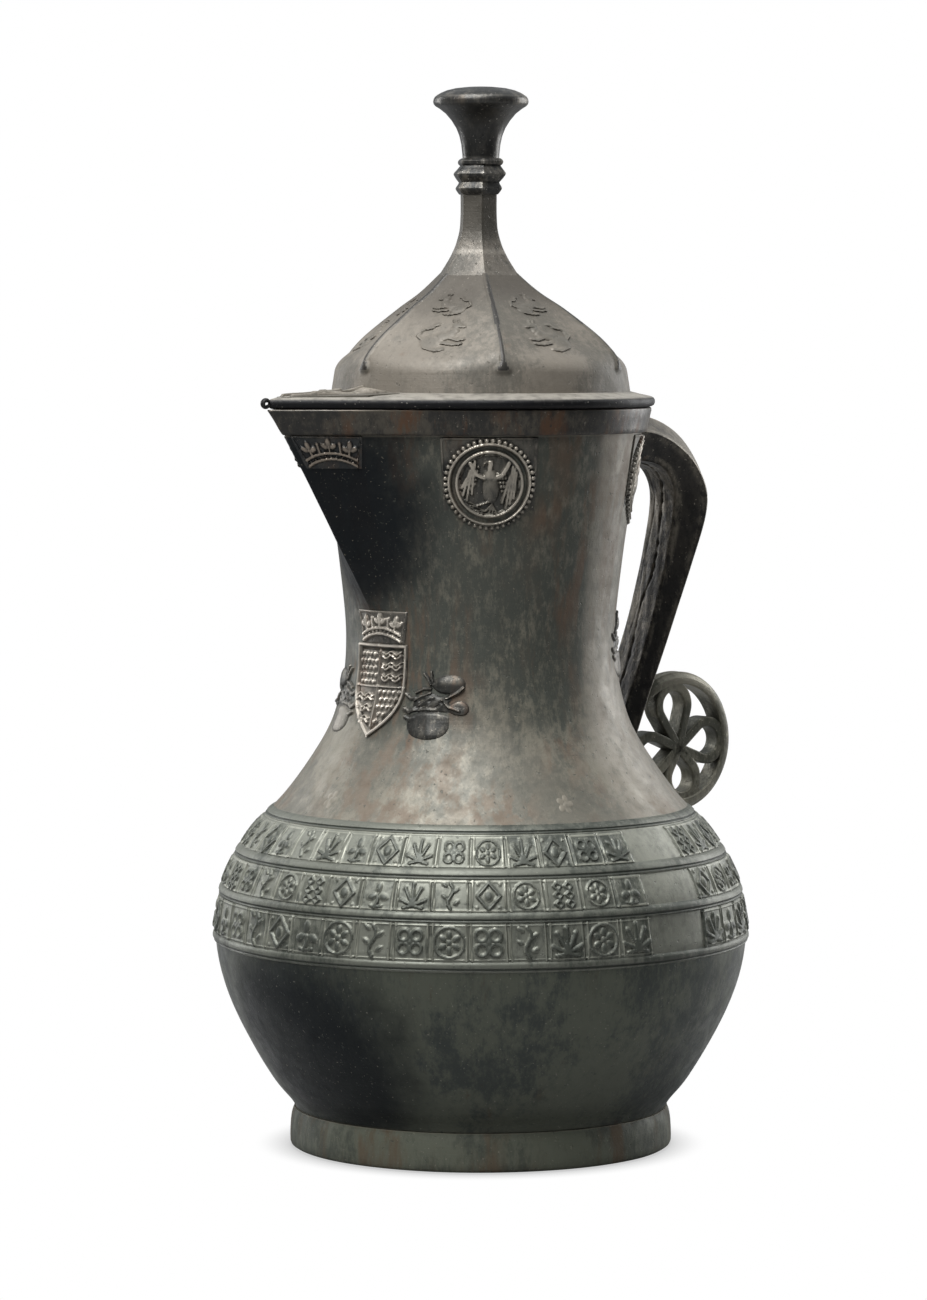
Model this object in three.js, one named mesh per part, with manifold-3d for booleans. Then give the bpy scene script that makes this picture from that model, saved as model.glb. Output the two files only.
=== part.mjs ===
// A large cast brass ewer: a round belly on a low foot, a neck that flares into a keeled pouring
// spout, a strap handle that ends in a pierced roundel, and a loose ribbed lid with a tall stem.
// Millimetres, +Z up. The body's axis is Z, its underside is z = 0, the spout points to -X and the
// handle to +X, and the two sides mirror each other in the plane y = 0.
import * as THREE from "three";
import { mergeVertices } from "three/addons/utils/BufferGeometryUtils.js";
import Module from "manifold-3d";

const wasm = await Module();
wasm.setup();

// Clearances and walls
const SEAT = 0.3; // gap between two pieces that touch
const BODY_WALL = 5;
const NECK_WALL = 4.5;
const AROUND = 48; // facets round a turned piece

// Foot and floor
const FOOT_RADIUS = 113;
const FOOT_HEIGHT = 22.5;
const FOOT_ROUNDING = 2;
const FOOT_WAIST = 111.3;
const FLOOR_THICKNESS = 6;
const FLOOR_FIT = 0.4;

// Belly and shoulder
const BELLY_RADIUS = 157;
const BELLY_Z = 131;
const SHOULDER_Z = 198.6; // where the shoulder meets the belly, under the top fillet

// Neck and mouth
const NECK_RADIUS = 79.3;
const NECK_Z = 300;
const RIM_RADIUS = 97;
const COLLAR_Z = 421;
const MOUTH_Z = 435.7;
const COLLAR_PROUD = 3.5;
const NECK_FLARE_POWER = 1.2;

// Spout: a sharp keel that leans out from its foot on the neck
const KEEL_FOOT_Z = 316;
const KEEL_REACH = 143.6; // at the collar's lower edge
const BEAK_REACH = 156.3; // at the mouth
const SPOUT_SHARE = 0.97; // where a facet ends, as a share of the angle from the keel to its tangent

// Fillets and pattern bands round the belly
const FILLET_ZS = [124.4, 152, 175.5, SHOULDER_Z];
const FILLET_WIDTH = 8;
const FILLET_RIDGE = 1.9;
const FILLET_VALLEY = 0.8;
const BAND_INSET = 0.6; // clear space between a band and its fillets
const BAND_THICKNESS = 1.5;
const TILE_STEP = (2 * Math.PI) / AROUND;
const BAND_HALVES = { front: 24, rear: 20 }; // tiles in the spout's half and the handle's half

// Handle, from the collar down to the shoulder
const HANDLE_OUTER_WIDTH = 40;
const HANDLE_INNER_WIDTH = 24;
const HANDLE_FOOT_WIDTH = 34;
const HANDLE_CREST = 15;
const HANDLE_CREST_START = 10;
const HANDLE_CREST_FALL = 0.35; // share of its height that the crest loses towards the foot
const HANDLE_ROWS = 22;

// Pierced roundel under the handle
const ROUNDEL = { x: BELLY_RADIUS - 7, z: 230.5, radius: 42.5, band: 7.5, depth: 14, turn: 9 };
const LOOP = { width: 29, strap: 6, depth: 12, drop: 4, bite: 2 };

// Medallions, shield, crowns and badges on the neck
const MEDALLION = { radius: 26.5, tileWidth: 54, tileHeight: 54, z: 393, angle: 54.6 };
const REAR_MEDALLION_ANGLE = 140;
const MEDALLION_RELIEF = { tile: 1.6, disc: 2.4, ring: 3.8, groove: 2.6 };
const SHIELD = { width: 42, height: 55, top: 298, thickness: 2.2, border: 2.6, step: 0.9 };
const SHIELD_ANGLE = -5; // it hangs a little to the left of the keel
const CROWN = { width: 37, height: 17, thickness: 2.4 };
const BADGE = { width: 38, height: 40, thickness: 3.2 };
const FRONT_BADGE = { z: 263, left: 33.1, right: 22.5 };
const REAR_BADGE = { z: 296, angle: 141 };

// Lid
const LID_GAP = 0.3;
const LID_RADIUS = 102.4;
const LID_REACH = 155.8;
const LID_THICKNESS = 6.4;
const LID_EDGE = 1.8;
const DOME_WALL = 3.5;
const DOME_FOOT_RADIUS = 88.2;
const DOME_TOP = 514;
const SEAT_RING = { height: 9, wall: 4, clearance: 1 };
const STEM = { foot: 24, radius: 11.6, height: 46 };
const KNOP = { lower: 2.2, middle: 4, upper: 2, lowerRise: 7, middleRise: 16, height: 21 }; // over the stem
const BUTTON = { radius: 28, height: 42, facets: 24 };
const BEAD = { radius: 2.1, tube: 1.1 }; // the pierced bead at the tip of the tongue

const BRASS = new THREE.Color(0.32, 0.31, 0.26);
const LID_BRASS = new THREE.Color(0.42, 0.38, 0.34);
const DARK_BRASS = new THREE.Color(0.12, 0.13, 0.12);
const ROUGH = 0.45;

const model = new THREE.Group();

// Shape helpers

// Smooth curve through [x, y] stations, read at any x: a cubic with slopes taken from the neighbours.
function curveThrough(stations) {
  const slope = (i) => {
    const a = stations[Math.max(i - 1, 0)];
    const b = stations[Math.min(i + 1, stations.length - 1)];
    return (b[1] - a[1]) / (b[0] - a[0]);
  };
  return (x) => {
    let i = stations.findIndex((station) => station[0] > x) - 1;
    if (x <= stations[0][0]) i = 0;
    if (i < 0) i = stations.length - 2;
    const [x0, y0] = stations[i];
    const [x1, y1] = stations[i + 1];
    const t = THREE.MathUtils.clamp((x - x0) / (x1 - x0), 0, 1);
    const width = x1 - x0;
    const a = (1 + 2 * t) * (1 - t) ** 2 * y0 + t * (1 - t) ** 2 * width * slope(i);
    const b = t ** 2 * (3 - 2 * t) * y1 - t ** 2 * (1 - t) * width * slope(i + 1);
    return a + b;
  };
}

// Bare geometry with shared vertices, no empty triangles, and faces that point out.
function tidy(geometry) {
  geometry.deleteAttribute("normal");
  geometry.deleteAttribute("uv");
  const merged = mergeVertices(geometry, 1e-4);
  const p = merged.getAttribute("position");
  const index = merged.getIndex().array;
  const kept = [];
  let volume = 0;
  const [a, b, c] = [new THREE.Vector3(), new THREE.Vector3(), new THREE.Vector3()];
  for (let i = 0; i < index.length; i += 3) {
    const [i0, i1, i2] = [index[i], index[i + 1], index[i + 2]];
    if (i0 === i1 || i1 === i2 || i2 === i0) continue;
    kept.push(i0, i1, i2);
    a.fromBufferAttribute(p, i0);
    b.fromBufferAttribute(p, i1);
    c.fromBufferAttribute(p, i2);
    volume += a.dot(b.cross(c));
  }
  if (volume < 0) {
    for (let i = 0; i < kept.length; i += 3) {
      [kept[i + 1], kept[i + 2]] = [kept[i + 2], kept[i + 1]];
    }
  }
  merged.setIndex(kept);
  return merged;
}

function toSolid(geometry) {
  const clean = tidy(geometry);
  return new wasm.Manifold(
    new wasm.Mesh({
      numProp: 3,
      vertProperties: new Float32Array(clean.getAttribute("position").array),
      triVerts: new Uint32Array(clean.getIndex().array),
    }),
  );
}

function fromSolid(solid) {
  const mesh = solid.getMesh();
  const geometry = new THREE.BufferGeometry();
  geometry.setAttribute("position", new THREE.BufferAttribute(mesh.vertProperties, 3));
  geometry.setIndex(new THREE.BufferAttribute(mesh.triVerts, 1));
  return geometry;
}

// Only the largest body of a cut solid, so that no loose sliver stays with it.
function mainBody(solid) {
  const bodies = solid.decompose();
  bodies.sort((a, b) => b.volume() - a.volume());
  return bodies[0];
}

// A turned piece: [radius, z] points of a closed profile, turned about Z.
function turned(profile, around = AROUND) {
  const points = profile.map(([r, z]) => new THREE.Vector2(r, z));
  points.push(points[0].clone());
  return new THREE.LatheGeometry(points, around).rotateX(Math.PI / 2);
}

// A solid turned piece whose profile runs from its lower to its upper centre.
function turnedSolid(profile, around = AROUND) {
  const points = [[0, profile[0][1]], ...profile, [0, profile[profile.length - 1][1]]];
  return new THREE.LatheGeometry(
    points.map(([r, z]) => new THREE.Vector2(r, z)),
    around,
  ).rotateX(Math.PI / 2);
}

// A grid of points joined into faces. wrapRows closes the last row onto the first.
function gridGeometry(rows, wrapRows, caps) {
  const n = rows[0].length;
  const positions = rows.flat().flatMap((point) => [point.x, point.y, point.z]);
  const index = [];
  const last = wrapRows ? rows.length : rows.length - 1;
  for (let i = 0; i < last; i += 1) {
    const next = (i + 1) % rows.length;
    for (let j = 0; j < n; j += 1) {
      const k = (j + 1) % n;
      index.push(i * n + j, next * n + j, next * n + k);
      index.push(i * n + j, next * n + k, i * n + k);
    }
  }
  if (caps) {
    for (let j = 1; j < n - 1; j += 1) {
      index.push(0, j, j + 1);
      const end = (rows.length - 1) * n;
      index.push(end, end + j + 1, end + j);
    }
  }
  const geometry = new THREE.BufferGeometry();
  geometry.setAttribute("position", new THREE.Float32BufferAttribute(positions, 3));
  geometry.setIndex(index);
  return geometry;
}

const loft = (sections) => gridGeometry(sections, false, true);
const ringLoft = (sections) => gridGeometry(sections, true, false);

// A thin panel on a surface: columns by rows, a top at the given heights and a flat underside.
function panel(us, vs, place, height) {
  const sections = us.map((u) => {
    const top = vs.map((v) => place(u, v, height(u, v)));
    const under = vs.map((v) => place(u, v, 0)).reverse();
    return [...top, ...under];
  });
  const n = vs.length;
  const geometry = gridGeometry(sections, false, false);
  const index = [...geometry.getIndex().array];
  const end = (us.length - 1) * 2 * n;
  for (let j = 0; j < n - 1; j += 1) {
    const [a, b, c, d] = [j, j + 1, 2 * n - 2 - j, 2 * n - 1 - j];
    index.push(a, b, c, a, c, d);
    index.push(end + a, end + c, end + b, end + a, end + d, end + c);
  }
  geometry.setIndex(index);
  return geometry;
}

function add(name, geometry, color) {
  const material = new THREE.MeshStandardMaterial({ color, roughness: ROUGH, metalness: 0.9 });
  const mesh = new THREE.Mesh(tidy(geometry), material);
  mesh.name = name;
  model.add(mesh);
  return mesh;
}

const steps = (from, to, count) =>
  Array.from({ length: count + 1 }, (_, i) => from + ((to - from) * i) / count);

// The body's outer radius at a height

const shoulderDrop = curveThrough([
  [0, 0],
  [0.17, 0.078],
  [0.33, 0.278],
  [0.456, 0.53],
  [0.586, 0.735],
  [0.7, 0.878],
  [0.8, 0.945],
  [1, 1],
]);

function bodyRadius(z) {
  if (z <= FOOT_HEIGHT) return FOOT_WAIST;
  if (z <= BELLY_Z) {
    const t = (z - FOOT_HEIGHT) / (BELLY_Z - FOOT_HEIGHT);
    return FOOT_WAIST + (BELLY_RADIUS - FOOT_WAIST) * Math.sin((Math.PI / 2) * t);
  }
  if (z <= NECK_Z) {
    const t = (z - BELLY_Z) / (NECK_Z - BELLY_Z);
    return BELLY_RADIUS - (BELLY_RADIUS - NECK_RADIUS) * shoulderDrop(t);
  }
  const t = (z - NECK_Z) / (MOUTH_Z - NECK_Z);
  return NECK_RADIUS + (RIM_RADIUS - NECK_RADIUS) * t ** NECK_FLARE_POWER;
}

const bodyProfile = (zs, offset = 0) => zs.map((z) => [bodyRadius(z) + offset, z]);

// A wall that follows the body, with fewer rows on its inside.
function shell(zs, wall) {
  const inside = zs.filter((_, i) => i % 2 === 0 || i === zs.length - 1);
  return turned([...bodyProfile(zs), ...bodyProfile(inside, -wall).reverse()]);
}

const BELLY_ZS = steps(FOOT_HEIGHT + SEAT, SHOULDER_Z - SEAT / 2, 10);
const NECK_ZS = [
  ...steps(SHOULDER_Z + SEAT / 2, KEEL_FOOT_Z, 6),
  ...steps(KEEL_FOOT_Z, COLLAR_Z - SEAT, 5).slice(1),
];

// The wall's radius as the facets run, straight from row to row, for what is seated on it.
const WALL_ZS = [...BELLY_ZS, ...NECK_ZS];

function wallRadius(z) {
  if (z >= WALL_ZS[WALL_ZS.length - 1]) return bodyRadius(z);
  const i = THREE.MathUtils.clamp(WALL_ZS.findIndex((row) => row > z), 1, WALL_ZS.length - 1);
  const [low, high] = [WALL_ZS[i - 1], WALL_ZS[i]];
  const t = (z - low) / (high - low);
  return THREE.MathUtils.lerp(bodyRadius(low), bodyRadius(high), t);
}

// The ends of a stretch of wall with the wall's own rows between them.
const wallRows = (from, to) => [from, ...WALL_ZS.filter((z) => z > from + 0.5 && z < to - 0.5), to];

// Keel reach at a height, straight from its foot to the collar.
function keelReach(z) {
  const t = (z - KEEL_FOOT_Z) / (COLLAR_Z - KEEL_FOOT_Z);
  return THREE.MathUtils.lerp(bodyRadius(KEEL_FOOT_Z), KEEL_REACH, t);
}

// The angle from the keel to the line where a spout facet touches the round neck.
function tangentAngle(z) {
  const [wall, reach] = [wallRadius(z), keelReach(z)];
  return z < KEEL_FOOT_Z || reach <= wall ? 0 : Math.acos(wall / reach);
}

// The skin's radius at an angle from +X: the wall, or the spout's facet where that stands out.
function skinRadius(angle, z) {
  const tangent = tangentAngle(z);
  const off = Math.abs(THREE.MathUtils.euclideanModulo(angle, 2 * Math.PI) - Math.PI);
  return off < tangent ? wallRadius(z) / Math.cos(tangent - off) : wallRadius(z);
}

// The skin of shoulder, neck and spout as a solid, moved out by a distance (in, when negative).
function skinSolid(zs, out) {
  const sections = zs.map((z) => {
    const grow = (wallRadius(z) + out) / wallRadius(z);
    return steps(0, 2 * Math.PI, AROUND)
      .slice(1)
      .map((angle) => {
        const r = skinRadius(angle, z) * grow;
        return new THREE.Vector3(r * Math.cos(angle), r * Math.sin(angle), z);
      });
  });
  return toSolid(loft(sections));
}

// The skin grown by the seat gap, for cutting what stands on it.
const skinTool = skinSolid(
  WALL_ZS.filter((z) => z > BELLY_Z),
  SEAT,
);

// The belly with its fillets and bands, grown the same way.
const bandTop = SHOULDER_Z + FILLET_WIDTH / 2 + SEAT;
const bandTool = toSolid(
  turnedSolid(wallRows(BELLY_Z, bandTop).map((z) => [wallRadius(z) + FILLET_RIDGE + 2 * SEAT, z])),
);

// Foot, floor and belly

function addFoot() {
  const inner = FOOT_WAIST - BODY_WALL;
  add(
    "foot_ring",
    turned([
      [inner, 0],
      [FOOT_RADIUS - FOOT_ROUNDING, 0],
      [FOOT_RADIUS - FOOT_ROUNDING * 0.3, FOOT_ROUNDING * 0.3],
      [FOOT_RADIUS, FOOT_ROUNDING],
      [FOOT_RADIUS - 0.6, FOOT_HEIGHT * 0.75],
      [FOOT_WAIST, FOOT_HEIGHT],
      [inner, FOOT_HEIGHT],
    ]),
    BRASS,
  );
  add("base_plate", turnedSolid([[inner - FLOOR_FIT, 0], [inner - FLOOR_FIT, FLOOR_THICKNESS]]), BRASS);
  add("belly_shell", shell(BELLY_ZS, BODY_WALL), DARK_BRASS);
}

// Fillets and bands, seated on the belly

function addFillets() {
  FILLET_ZS.forEach((z, i) => {
    const face = [
      [-0.3, FILLET_RIDGE],
      [0, FILLET_VALLEY],
      [0.3, FILLET_RIDGE],
    ].map(([share, proud]) => {
      const level = z + share * FILLET_WIDTH;
      return [wallRadius(level) + SEAT + proud, level];
    });
    const back = wallRows(z - FILLET_WIDTH / 2, z + FILLET_WIDTH / 2).reverse();
    const seat = back.map((level) => [wallRadius(level) + SEAT, level]);
    add(`fillet_${i + 1}`, turned([...face, ...seat]), BRASS);
  });
}

// A point over the body: angle from +X, height, and distance out of the surface.
function onBody(angle, z, out) {
  const r = skinRadius(angle, z) + SEAT + out;
  return new THREE.Vector3(r * Math.cos(angle), r * Math.sin(angle), z);
}

function addBands() {
  const names = ["lower", "middle", "upper"];
  names.forEach((name, i) => {
    const bottom = FILLET_ZS[i] + FILLET_WIDTH / 2 + BAND_INSET;
    const top = FILLET_ZS[i + 1] - FILLET_WIDTH / 2 - BAND_INSET;
    const vs = wallRows(bottom, top);
    for (const [half, tiles] of Object.entries(BAND_HALVES)) {
      const middle = half === "front" ? Math.PI : 0;
      const start = middle - (tiles * TILE_STEP) / 2;
      const us = steps(start, start + tiles * TILE_STEP, tiles);
      add(`band_${name}_${half}`, panel(us, vs, onBody, () => BAND_THICKNESS), BRASS);
    }
  });
}

// Mouth outlines: a circle with two tangents that meet in the keel on the -X side.
function mouthOutline(radius, reach, z, count = 40) {
  const half = Math.acos(Math.min(radius / reach, 0.9999));
  const points = [];
  for (let i = 0; i <= count; i += 1) {
    const angle = -Math.PI + half + ((2 * Math.PI - 2 * half) * i) / count;
    points.push(new THREE.Vector3(radius * Math.cos(angle), radius * Math.sin(angle), z));
  }
  points.push(new THREE.Vector3(-reach, 0, z));
  return points;
}

// The sector of the neck wall that belongs to the spout, in rows close enough for a clean seam.
function spoutSector(gap) {
  const levels = steps(KEEL_FOOT_Z, COLLAR_Z - SEAT, 21);
  const sections = levels.map((z, i) => {
    const narrowest = (2 * SEAT) / NECK_RADIUS;
    const half = Math.max(tangentAngle(z) * SPOUT_SHARE, narrowest) - gap / NECK_RADIUS;
    const end = i === levels.length - 1 ? 1 : 0;
    const corner = (radius, side) =>
      new THREE.Vector3(-radius * Math.cos(half), side * radius * Math.sin(half), z + end);
    const [near, far] = [wallRadius(z) - 2 * NECK_WALL, 2 * wallRadius(z)];
    const keel = new THREE.Vector3(-far, 0, z + end);
    return [corner(far, 1), keel, corner(far, -1), corner(near, -1), corner(near, 1)];
  });
  return toSolid(loft(sections));
}

// Raised work cut to the skin behind it, a seat gap clear of it.
const seated = (geometry) => fromSolid(mainBody(toSolid(geometry).subtract(skinTool)));

function addNeck() {
  const inside = NECK_ZS.filter((_, i) => i % 2 === 0 || i === NECK_ZS.length - 1);
  const cavity = [NECK_ZS[0] - 1, ...inside, COLLAR_Z + 1];
  const wall = skinSolid(NECK_ZS, 0).subtract(skinSolid(cavity, -NECK_WALL));
  add("neck_shell", fromSolid(mainBody(wall.subtract(spoutSector(0)))), BRASS);
  add("spout", fromSolid(mainBody(wall.intersect(spoutSector(SEAT)))), DARK_BRASS);
}

function collarSections(grow) {
  const rows = [
    [RIM_RADIUS - NECK_WALL - 1.5 - grow, KEEL_REACH - 6 - grow, COLLAR_Z - grow],
    [RIM_RADIUS + grow, KEEL_REACH + 1 + grow, COLLAR_Z - grow],
    [RIM_RADIUS + COLLAR_PROUD + grow, BEAK_REACH - 6 + grow, COLLAR_Z + 3.5 - grow],
    [RIM_RADIUS + COLLAR_PROUD + grow, BEAK_REACH + grow, MOUTH_Z + grow],
    [RIM_RADIUS - NECK_WALL - 1.5 - grow, BEAK_REACH - 8 - grow, MOUTH_Z + grow],
  ];
  return rows.map(([radius, reach, z]) => mouthOutline(radius, reach, z));
}

function addCollar() {
  add("rim_collar", ringLoft(collarSections(0)), BRASS);
}

// Handle: a five-sided strap, flat inside, flared flanks, and a crest down its back.
const underCollar = ([x, drop]) => new THREE.Vector3(x, 0, COLLAR_Z + drop);
const innerLine = new THREE.CatmullRomCurve3(
  [
    [84, -20],
    [118, -19],
    [133, -24],
    [140, -35],
    [140.5, -49],
    [133.2, -83],
    [121.5, -120],
    [106, -159],
    [90, -193],
  ].map(underCollar),
  false,
  "centripetal",
);
const outerLine = new THREE.CatmullRomCurve3(
  [
    [84, 0],
    [120, -2.5],
    [144, -15],
    [158, -33],
    [159.5, -50],
    [148.5, -81],
    [133.5, -118.5],
    [115.5, -162],
    [101, -195],
  ].map(underCollar),
  false,
  "centripetal",
);

function handleSolid(grow) {
  const sections = steps(0, 1, HANDLE_ROWS).map((t) => {
    const inner = innerLine.getPoint(t);
    const outer = outerLine.getPoint(t);
    const out = outer.clone().sub(inner).normalize();
    const taper = THREE.MathUtils.smoothstep(t, 0.35, 1);
    const outerHalf = THREE.MathUtils.lerp(HANDLE_OUTER_WIDTH, HANDLE_FOOT_WIDTH, taper) / 2 + grow;
    const innerHalf = HANDLE_INNER_WIDTH / 2 + grow;
    const rise = THREE.MathUtils.smoothstep(t, 0.05, 0.25);
    const fall = THREE.MathUtils.smoothstep(t, 0.5, 1);
    const risen = THREE.MathUtils.lerp(HANDLE_CREST_START, HANDLE_CREST, rise);
    const crest = risen * (1 - HANDLE_CREST_FALL * fall) + grow;
    inner.addScaledVector(out, -grow);
    const side = (point, half) => new THREE.Vector3(point.x, half, point.z);
    return [
      side(inner, -innerHalf),
      side(outer, -outerHalf),
      outer.clone().addScaledVector(out, crest),
      side(outer, outerHalf),
      side(inner, innerHalf),
    ];
  });
  return toSolid(loft(sections));
}

function addHandle() {
  const collarHull = toSolid(loft(collarSections(SEAT).slice(1, 4)));
  const handle = handleSolid(0).subtract(skinTool).subtract(collarHull);
  add("handle", fromSolid(mainBody(handle)), BRASS);
}

// Pierced roundel: a moulded ring round four strap loops that meet in its middle

function loopGeometry(length, width, strap, depth) {
  const drop = (grow) => {
    const shape = [];
    const tip = width / 2 + grow;
    const centre = length - width / 2;
    const reach = Math.asin(Math.min(tip / centre, 0.95));
    for (let i = 0; i <= 12; i += 1) {
      const angle = -Math.PI / 2 - reach + ((Math.PI + 2 * reach) * i) / 12;
      shape.push(new THREE.Vector2(centre + tip * Math.cos(angle), tip * Math.sin(angle)));
    }
    return shape;
  };
  const outer = new THREE.Shape([new THREE.Vector2(-strap, 0), ...drop(0)]);
  const hole = new THREE.Path([new THREE.Vector2(strap * 1.6, 0), ...drop(-strap)]);
  outer.holes.push(hole);
  const geometry = new THREE.ExtrudeGeometry(outer, { depth, bevelEnabled: false });
  return geometry.translate(0, 0, -depth / 2);
}

function addRoundel() {
  const { radius, band, depth, turn } = ROUNDEL;
  const half = depth / 2;
  const ring = turned([
    [radius - band, -half],
    [radius - band * 0.45, -half],
    [radius - band * 0.3, -half * 0.62],
    [radius, -half * 0.5],
    [radius, half * 0.5],
    [radius - band * 0.3, half * 0.62],
    [radius - band * 0.45, half],
    [radius - band, half],
  ], 36);
  const laid = (geometry, x, z) => geometry.rotateX(Math.PI / 2).translate(x, 0, z);
  let solid = toSolid(laid(ring, ROUNDEL.x, ROUNDEL.z));
  for (let i = 0; i < 4; i += 1) {
    const angle = THREE.MathUtils.degToRad(turn + 90 * i);
    const length = radius - band + LOOP.bite + LOOP.drop * Math.sin(angle);
    const loop = loopGeometry(length, LOOP.width, LOOP.strap, LOOP.depth).rotateZ(angle);
    solid = solid.add(toSolid(laid(loop, ROUNDEL.x, ROUNDEL.z - LOOP.drop)));
  }
  const foot = new THREE.Shape([
    new THREE.Vector2(ROUNDEL.x + radius * 0.6, ROUNDEL.z - radius * 0.74),
    new THREE.Vector2(ROUNDEL.x + radius * 0.3, ROUNDEL.z - radius),
    new THREE.Vector2(ROUNDEL.x - radius * 0.4, ROUNDEL.z - radius * 1.08),
    new THREE.Vector2(ROUNDEL.x - radius * 0.3, ROUNDEL.z - radius * 0.93),
    new THREE.Vector2(ROUNDEL.x + radius * 0.3, ROUNDEL.z - radius * 0.88),
  ]);
  const footBlock = new THREE.ExtrudeGeometry(foot, { depth: depth * 0.9, bevelEnabled: false });
  footBlock.translate(0, 0, -depth * 0.45).rotateX(Math.PI / 2);
  solid = solid.add(toSolid(footBlock));
  solid = solid.subtract(skinTool).subtract(bandTool).subtract(handleSolid(SEAT));
  add("handle_roundel", fromSolid(mainBody(solid)), BRASS);
}

// Raised work on the neck

// Puts a panel laid out in millimetres (across, up) on the neck at an angle from the spout.
function neckPlace(angle, z) {
  const middle = Math.PI - angle;
  const radius = bodyRadius(z);
  return (u, v, out) => onBody(middle + u / radius, z + v, out);
}

function medallion(angle, z) {
  const place = neckPlace(angle, z);
  const { tile, disc, ring, groove } = MEDALLION_RELIEF;
  const plate = panel(
    steps(-MEDALLION.tileWidth / 2, MEDALLION.tileWidth / 2, 5),
    steps(-MEDALLION.tileHeight / 2, MEDALLION.tileHeight / 2, 2),
    place,
    () => tile,
  );
  // Rings of the moulding: share of the radius, and height over the neck.
  const moulding = ringLoft(
    [
      [1, tile / 2],
      [0.98, disc],
      [0.92, ring],
      [0.84, groove],
      [0.76, ring],
      [0.7, tile / 2],
    ].map(([share, out]) =>
      steps(0, 2 * Math.PI, 20)
        .slice(0, 20)
        .map((a) => {
          const r = share * MEDALLION.radius;
          return place(r * Math.cos(a), r * Math.sin(a), out);
        }),
    ),
  );
  return fromSolid(toSolid(plate).add(toSolid(moulding)));
}

function shieldPanel() {
  const { width, height, thickness, border, step } = SHIELD;
  const place = neckPlace(THREE.MathUtils.degToRad(SHIELD_ANGLE), SHIELD.top - height / 2);
  // Straight sides for the upper part, then two arcs that meet in a blunt point.
  const halfWidth = (v) => {
    const fall = THREE.MathUtils.clamp((0.1 - v / height) / 0.6, 0, 1);
    return (width / 2) * Math.max(Math.cos((Math.PI / 2) * fall ** 1.3), 0.03);
  };
  const rim = border / (width / 2);
  const us = [-1, -1 + rim, -1 + rim * 1.25, -0.5, -0.04, 0.04, 0.5, 1 - rim * 1.25, 1 - rim, 1];
  const vs = steps(-height / 2, height / 2, 12);
  const raised = (u, v) => {
    const sides = Math.abs(u) > 1 - rim * 1.1;
    const ends = v > height / 2 - border || v < -height / 2 + border * 2;
    const pale = Math.abs(u) < 0.05;
    return sides || ends || pale ? thickness : thickness - step;
  };
  return panel(us, vs, (u, v, out) => place(u * halfWidth(v), v, out), raised);
}

function crownPanel(place) {
  const { width, height, thickness } = CROWN;
  const us = steps(-1, 1, 12);
  const vs = [0, 0.3, 0.4, 1];
  // Band at the foot and points along the top, three tall and two low between them.
  const top = (u) => 0.72 + 0.28 * Math.abs(Math.cos(u * Math.PI * 1.5));
  const rays = (u) => thickness * (0.65 + 0.2 * Math.cos(u * Math.PI * 6));
  const raised = (u, v) => (v < 0.35 ? thickness : rays(u));
  return panel(
    us,
    vs,
    (u, v, out) => place((u * width) / 2, (v * top(u) - 0.5) * height, out),
    raised,
  );
}

// A crouching beast as a plain raised mass. Rows from its feet up: shift and half-width.
const BEAST = [
  [-1, -0.05, 0.85],
  [-0.62, -0.12, 0.8],
  [-0.25, -0.2, 0.62],
  [0.1, -0.1, 0.6],
  [0.45, 0.2, 0.52],
  [0.75, 0.4, 0.5],
  [1, 0.45, 0.28],
];

function badgePanel(angle, z) {
  const place = neckPlace(angle, z);
  const facing = Math.sign(angle);
  const us = steps(-1, 1, 6);
  const row = (v) => BEAST.find(([level]) => level === v);
  const across = (u, v) => (row(v)[1] * facing + u * row(v)[2]) * (BADGE.width / 2);
  const raised = (u) => BADGE.thickness * (0.35 + 0.65 * Math.sqrt(1 - u * u));
  return panel(
    us,
    BEAST.map(([level]) => level),
    (u, v, out) => place(across(u, v), (v * BADGE.height) / 2, out),
    raised,
  );
}

// A place on a spout facet: across from the crown's middle, up, and out of the facet.
function facetPlace(side) {
  const middle = COLLAR_Z - 1.2 - CROWN.height / 2;
  return (u, v, out) => {
    const z = middle + v;
    const radius = wallRadius(z);
    const half = Math.acos(radius / keelReach(z));
    const keel = new THREE.Vector3(-keelReach(z), 0, z);
    const outward = new THREE.Vector3(-Math.cos(half), side * Math.sin(half), 0);
    const along = outward.clone().multiplyScalar(radius).setZ(z).sub(keel).normalize();
    return keel.addScaledVector(along, CROWN.width / 2 + 5 + u).addScaledVector(outward, out + 1.5 * SEAT);
  };
}

function addRaisedWork() {
  for (const side of [-1, 1]) {
    const hand = side < 0 ? "left" : "right";
    const turn = (degrees) => side * THREE.MathUtils.degToRad(degrees);
    add(`medallion_front_${hand}`, seated(medallion(turn(MEDALLION.angle), MEDALLION.z)), BRASS);
    add(`medallion_rear_${hand}`, medallion(turn(REAR_MEDALLION_ANGLE), MEDALLION.z), BRASS);
    add(`badge_front_${hand}`, seated(badgePanel(turn(FRONT_BADGE[hand]), FRONT_BADGE.z)), BRASS);
    add(`badge_rear_${hand}`, seated(badgePanel(turn(REAR_BADGE.angle), REAR_BADGE.z)), BRASS);
    add(`spout_crown_${hand}`, seated(crownPanel(facetPlace(side))), DARK_BRASS);
  }
  add("shield_plaque", seated(shieldPanel()), BRASS);
  const crownZ = SHIELD.top + SEAT + CROWN.height / 2 + 0.5;
  add("shield_crown", seated(crownPanel(neckPlace(THREE.MathUtils.degToRad(SHIELD_ANGLE), crownZ))), BRASS);
}

// Lid

const FLANGE_Z = MOUTH_Z + LID_GAP;
const FLANGE_TOP = FLANGE_Z + LID_THICKNESS;
const DOME_Z = FLANGE_TOP + SEAT;

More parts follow.
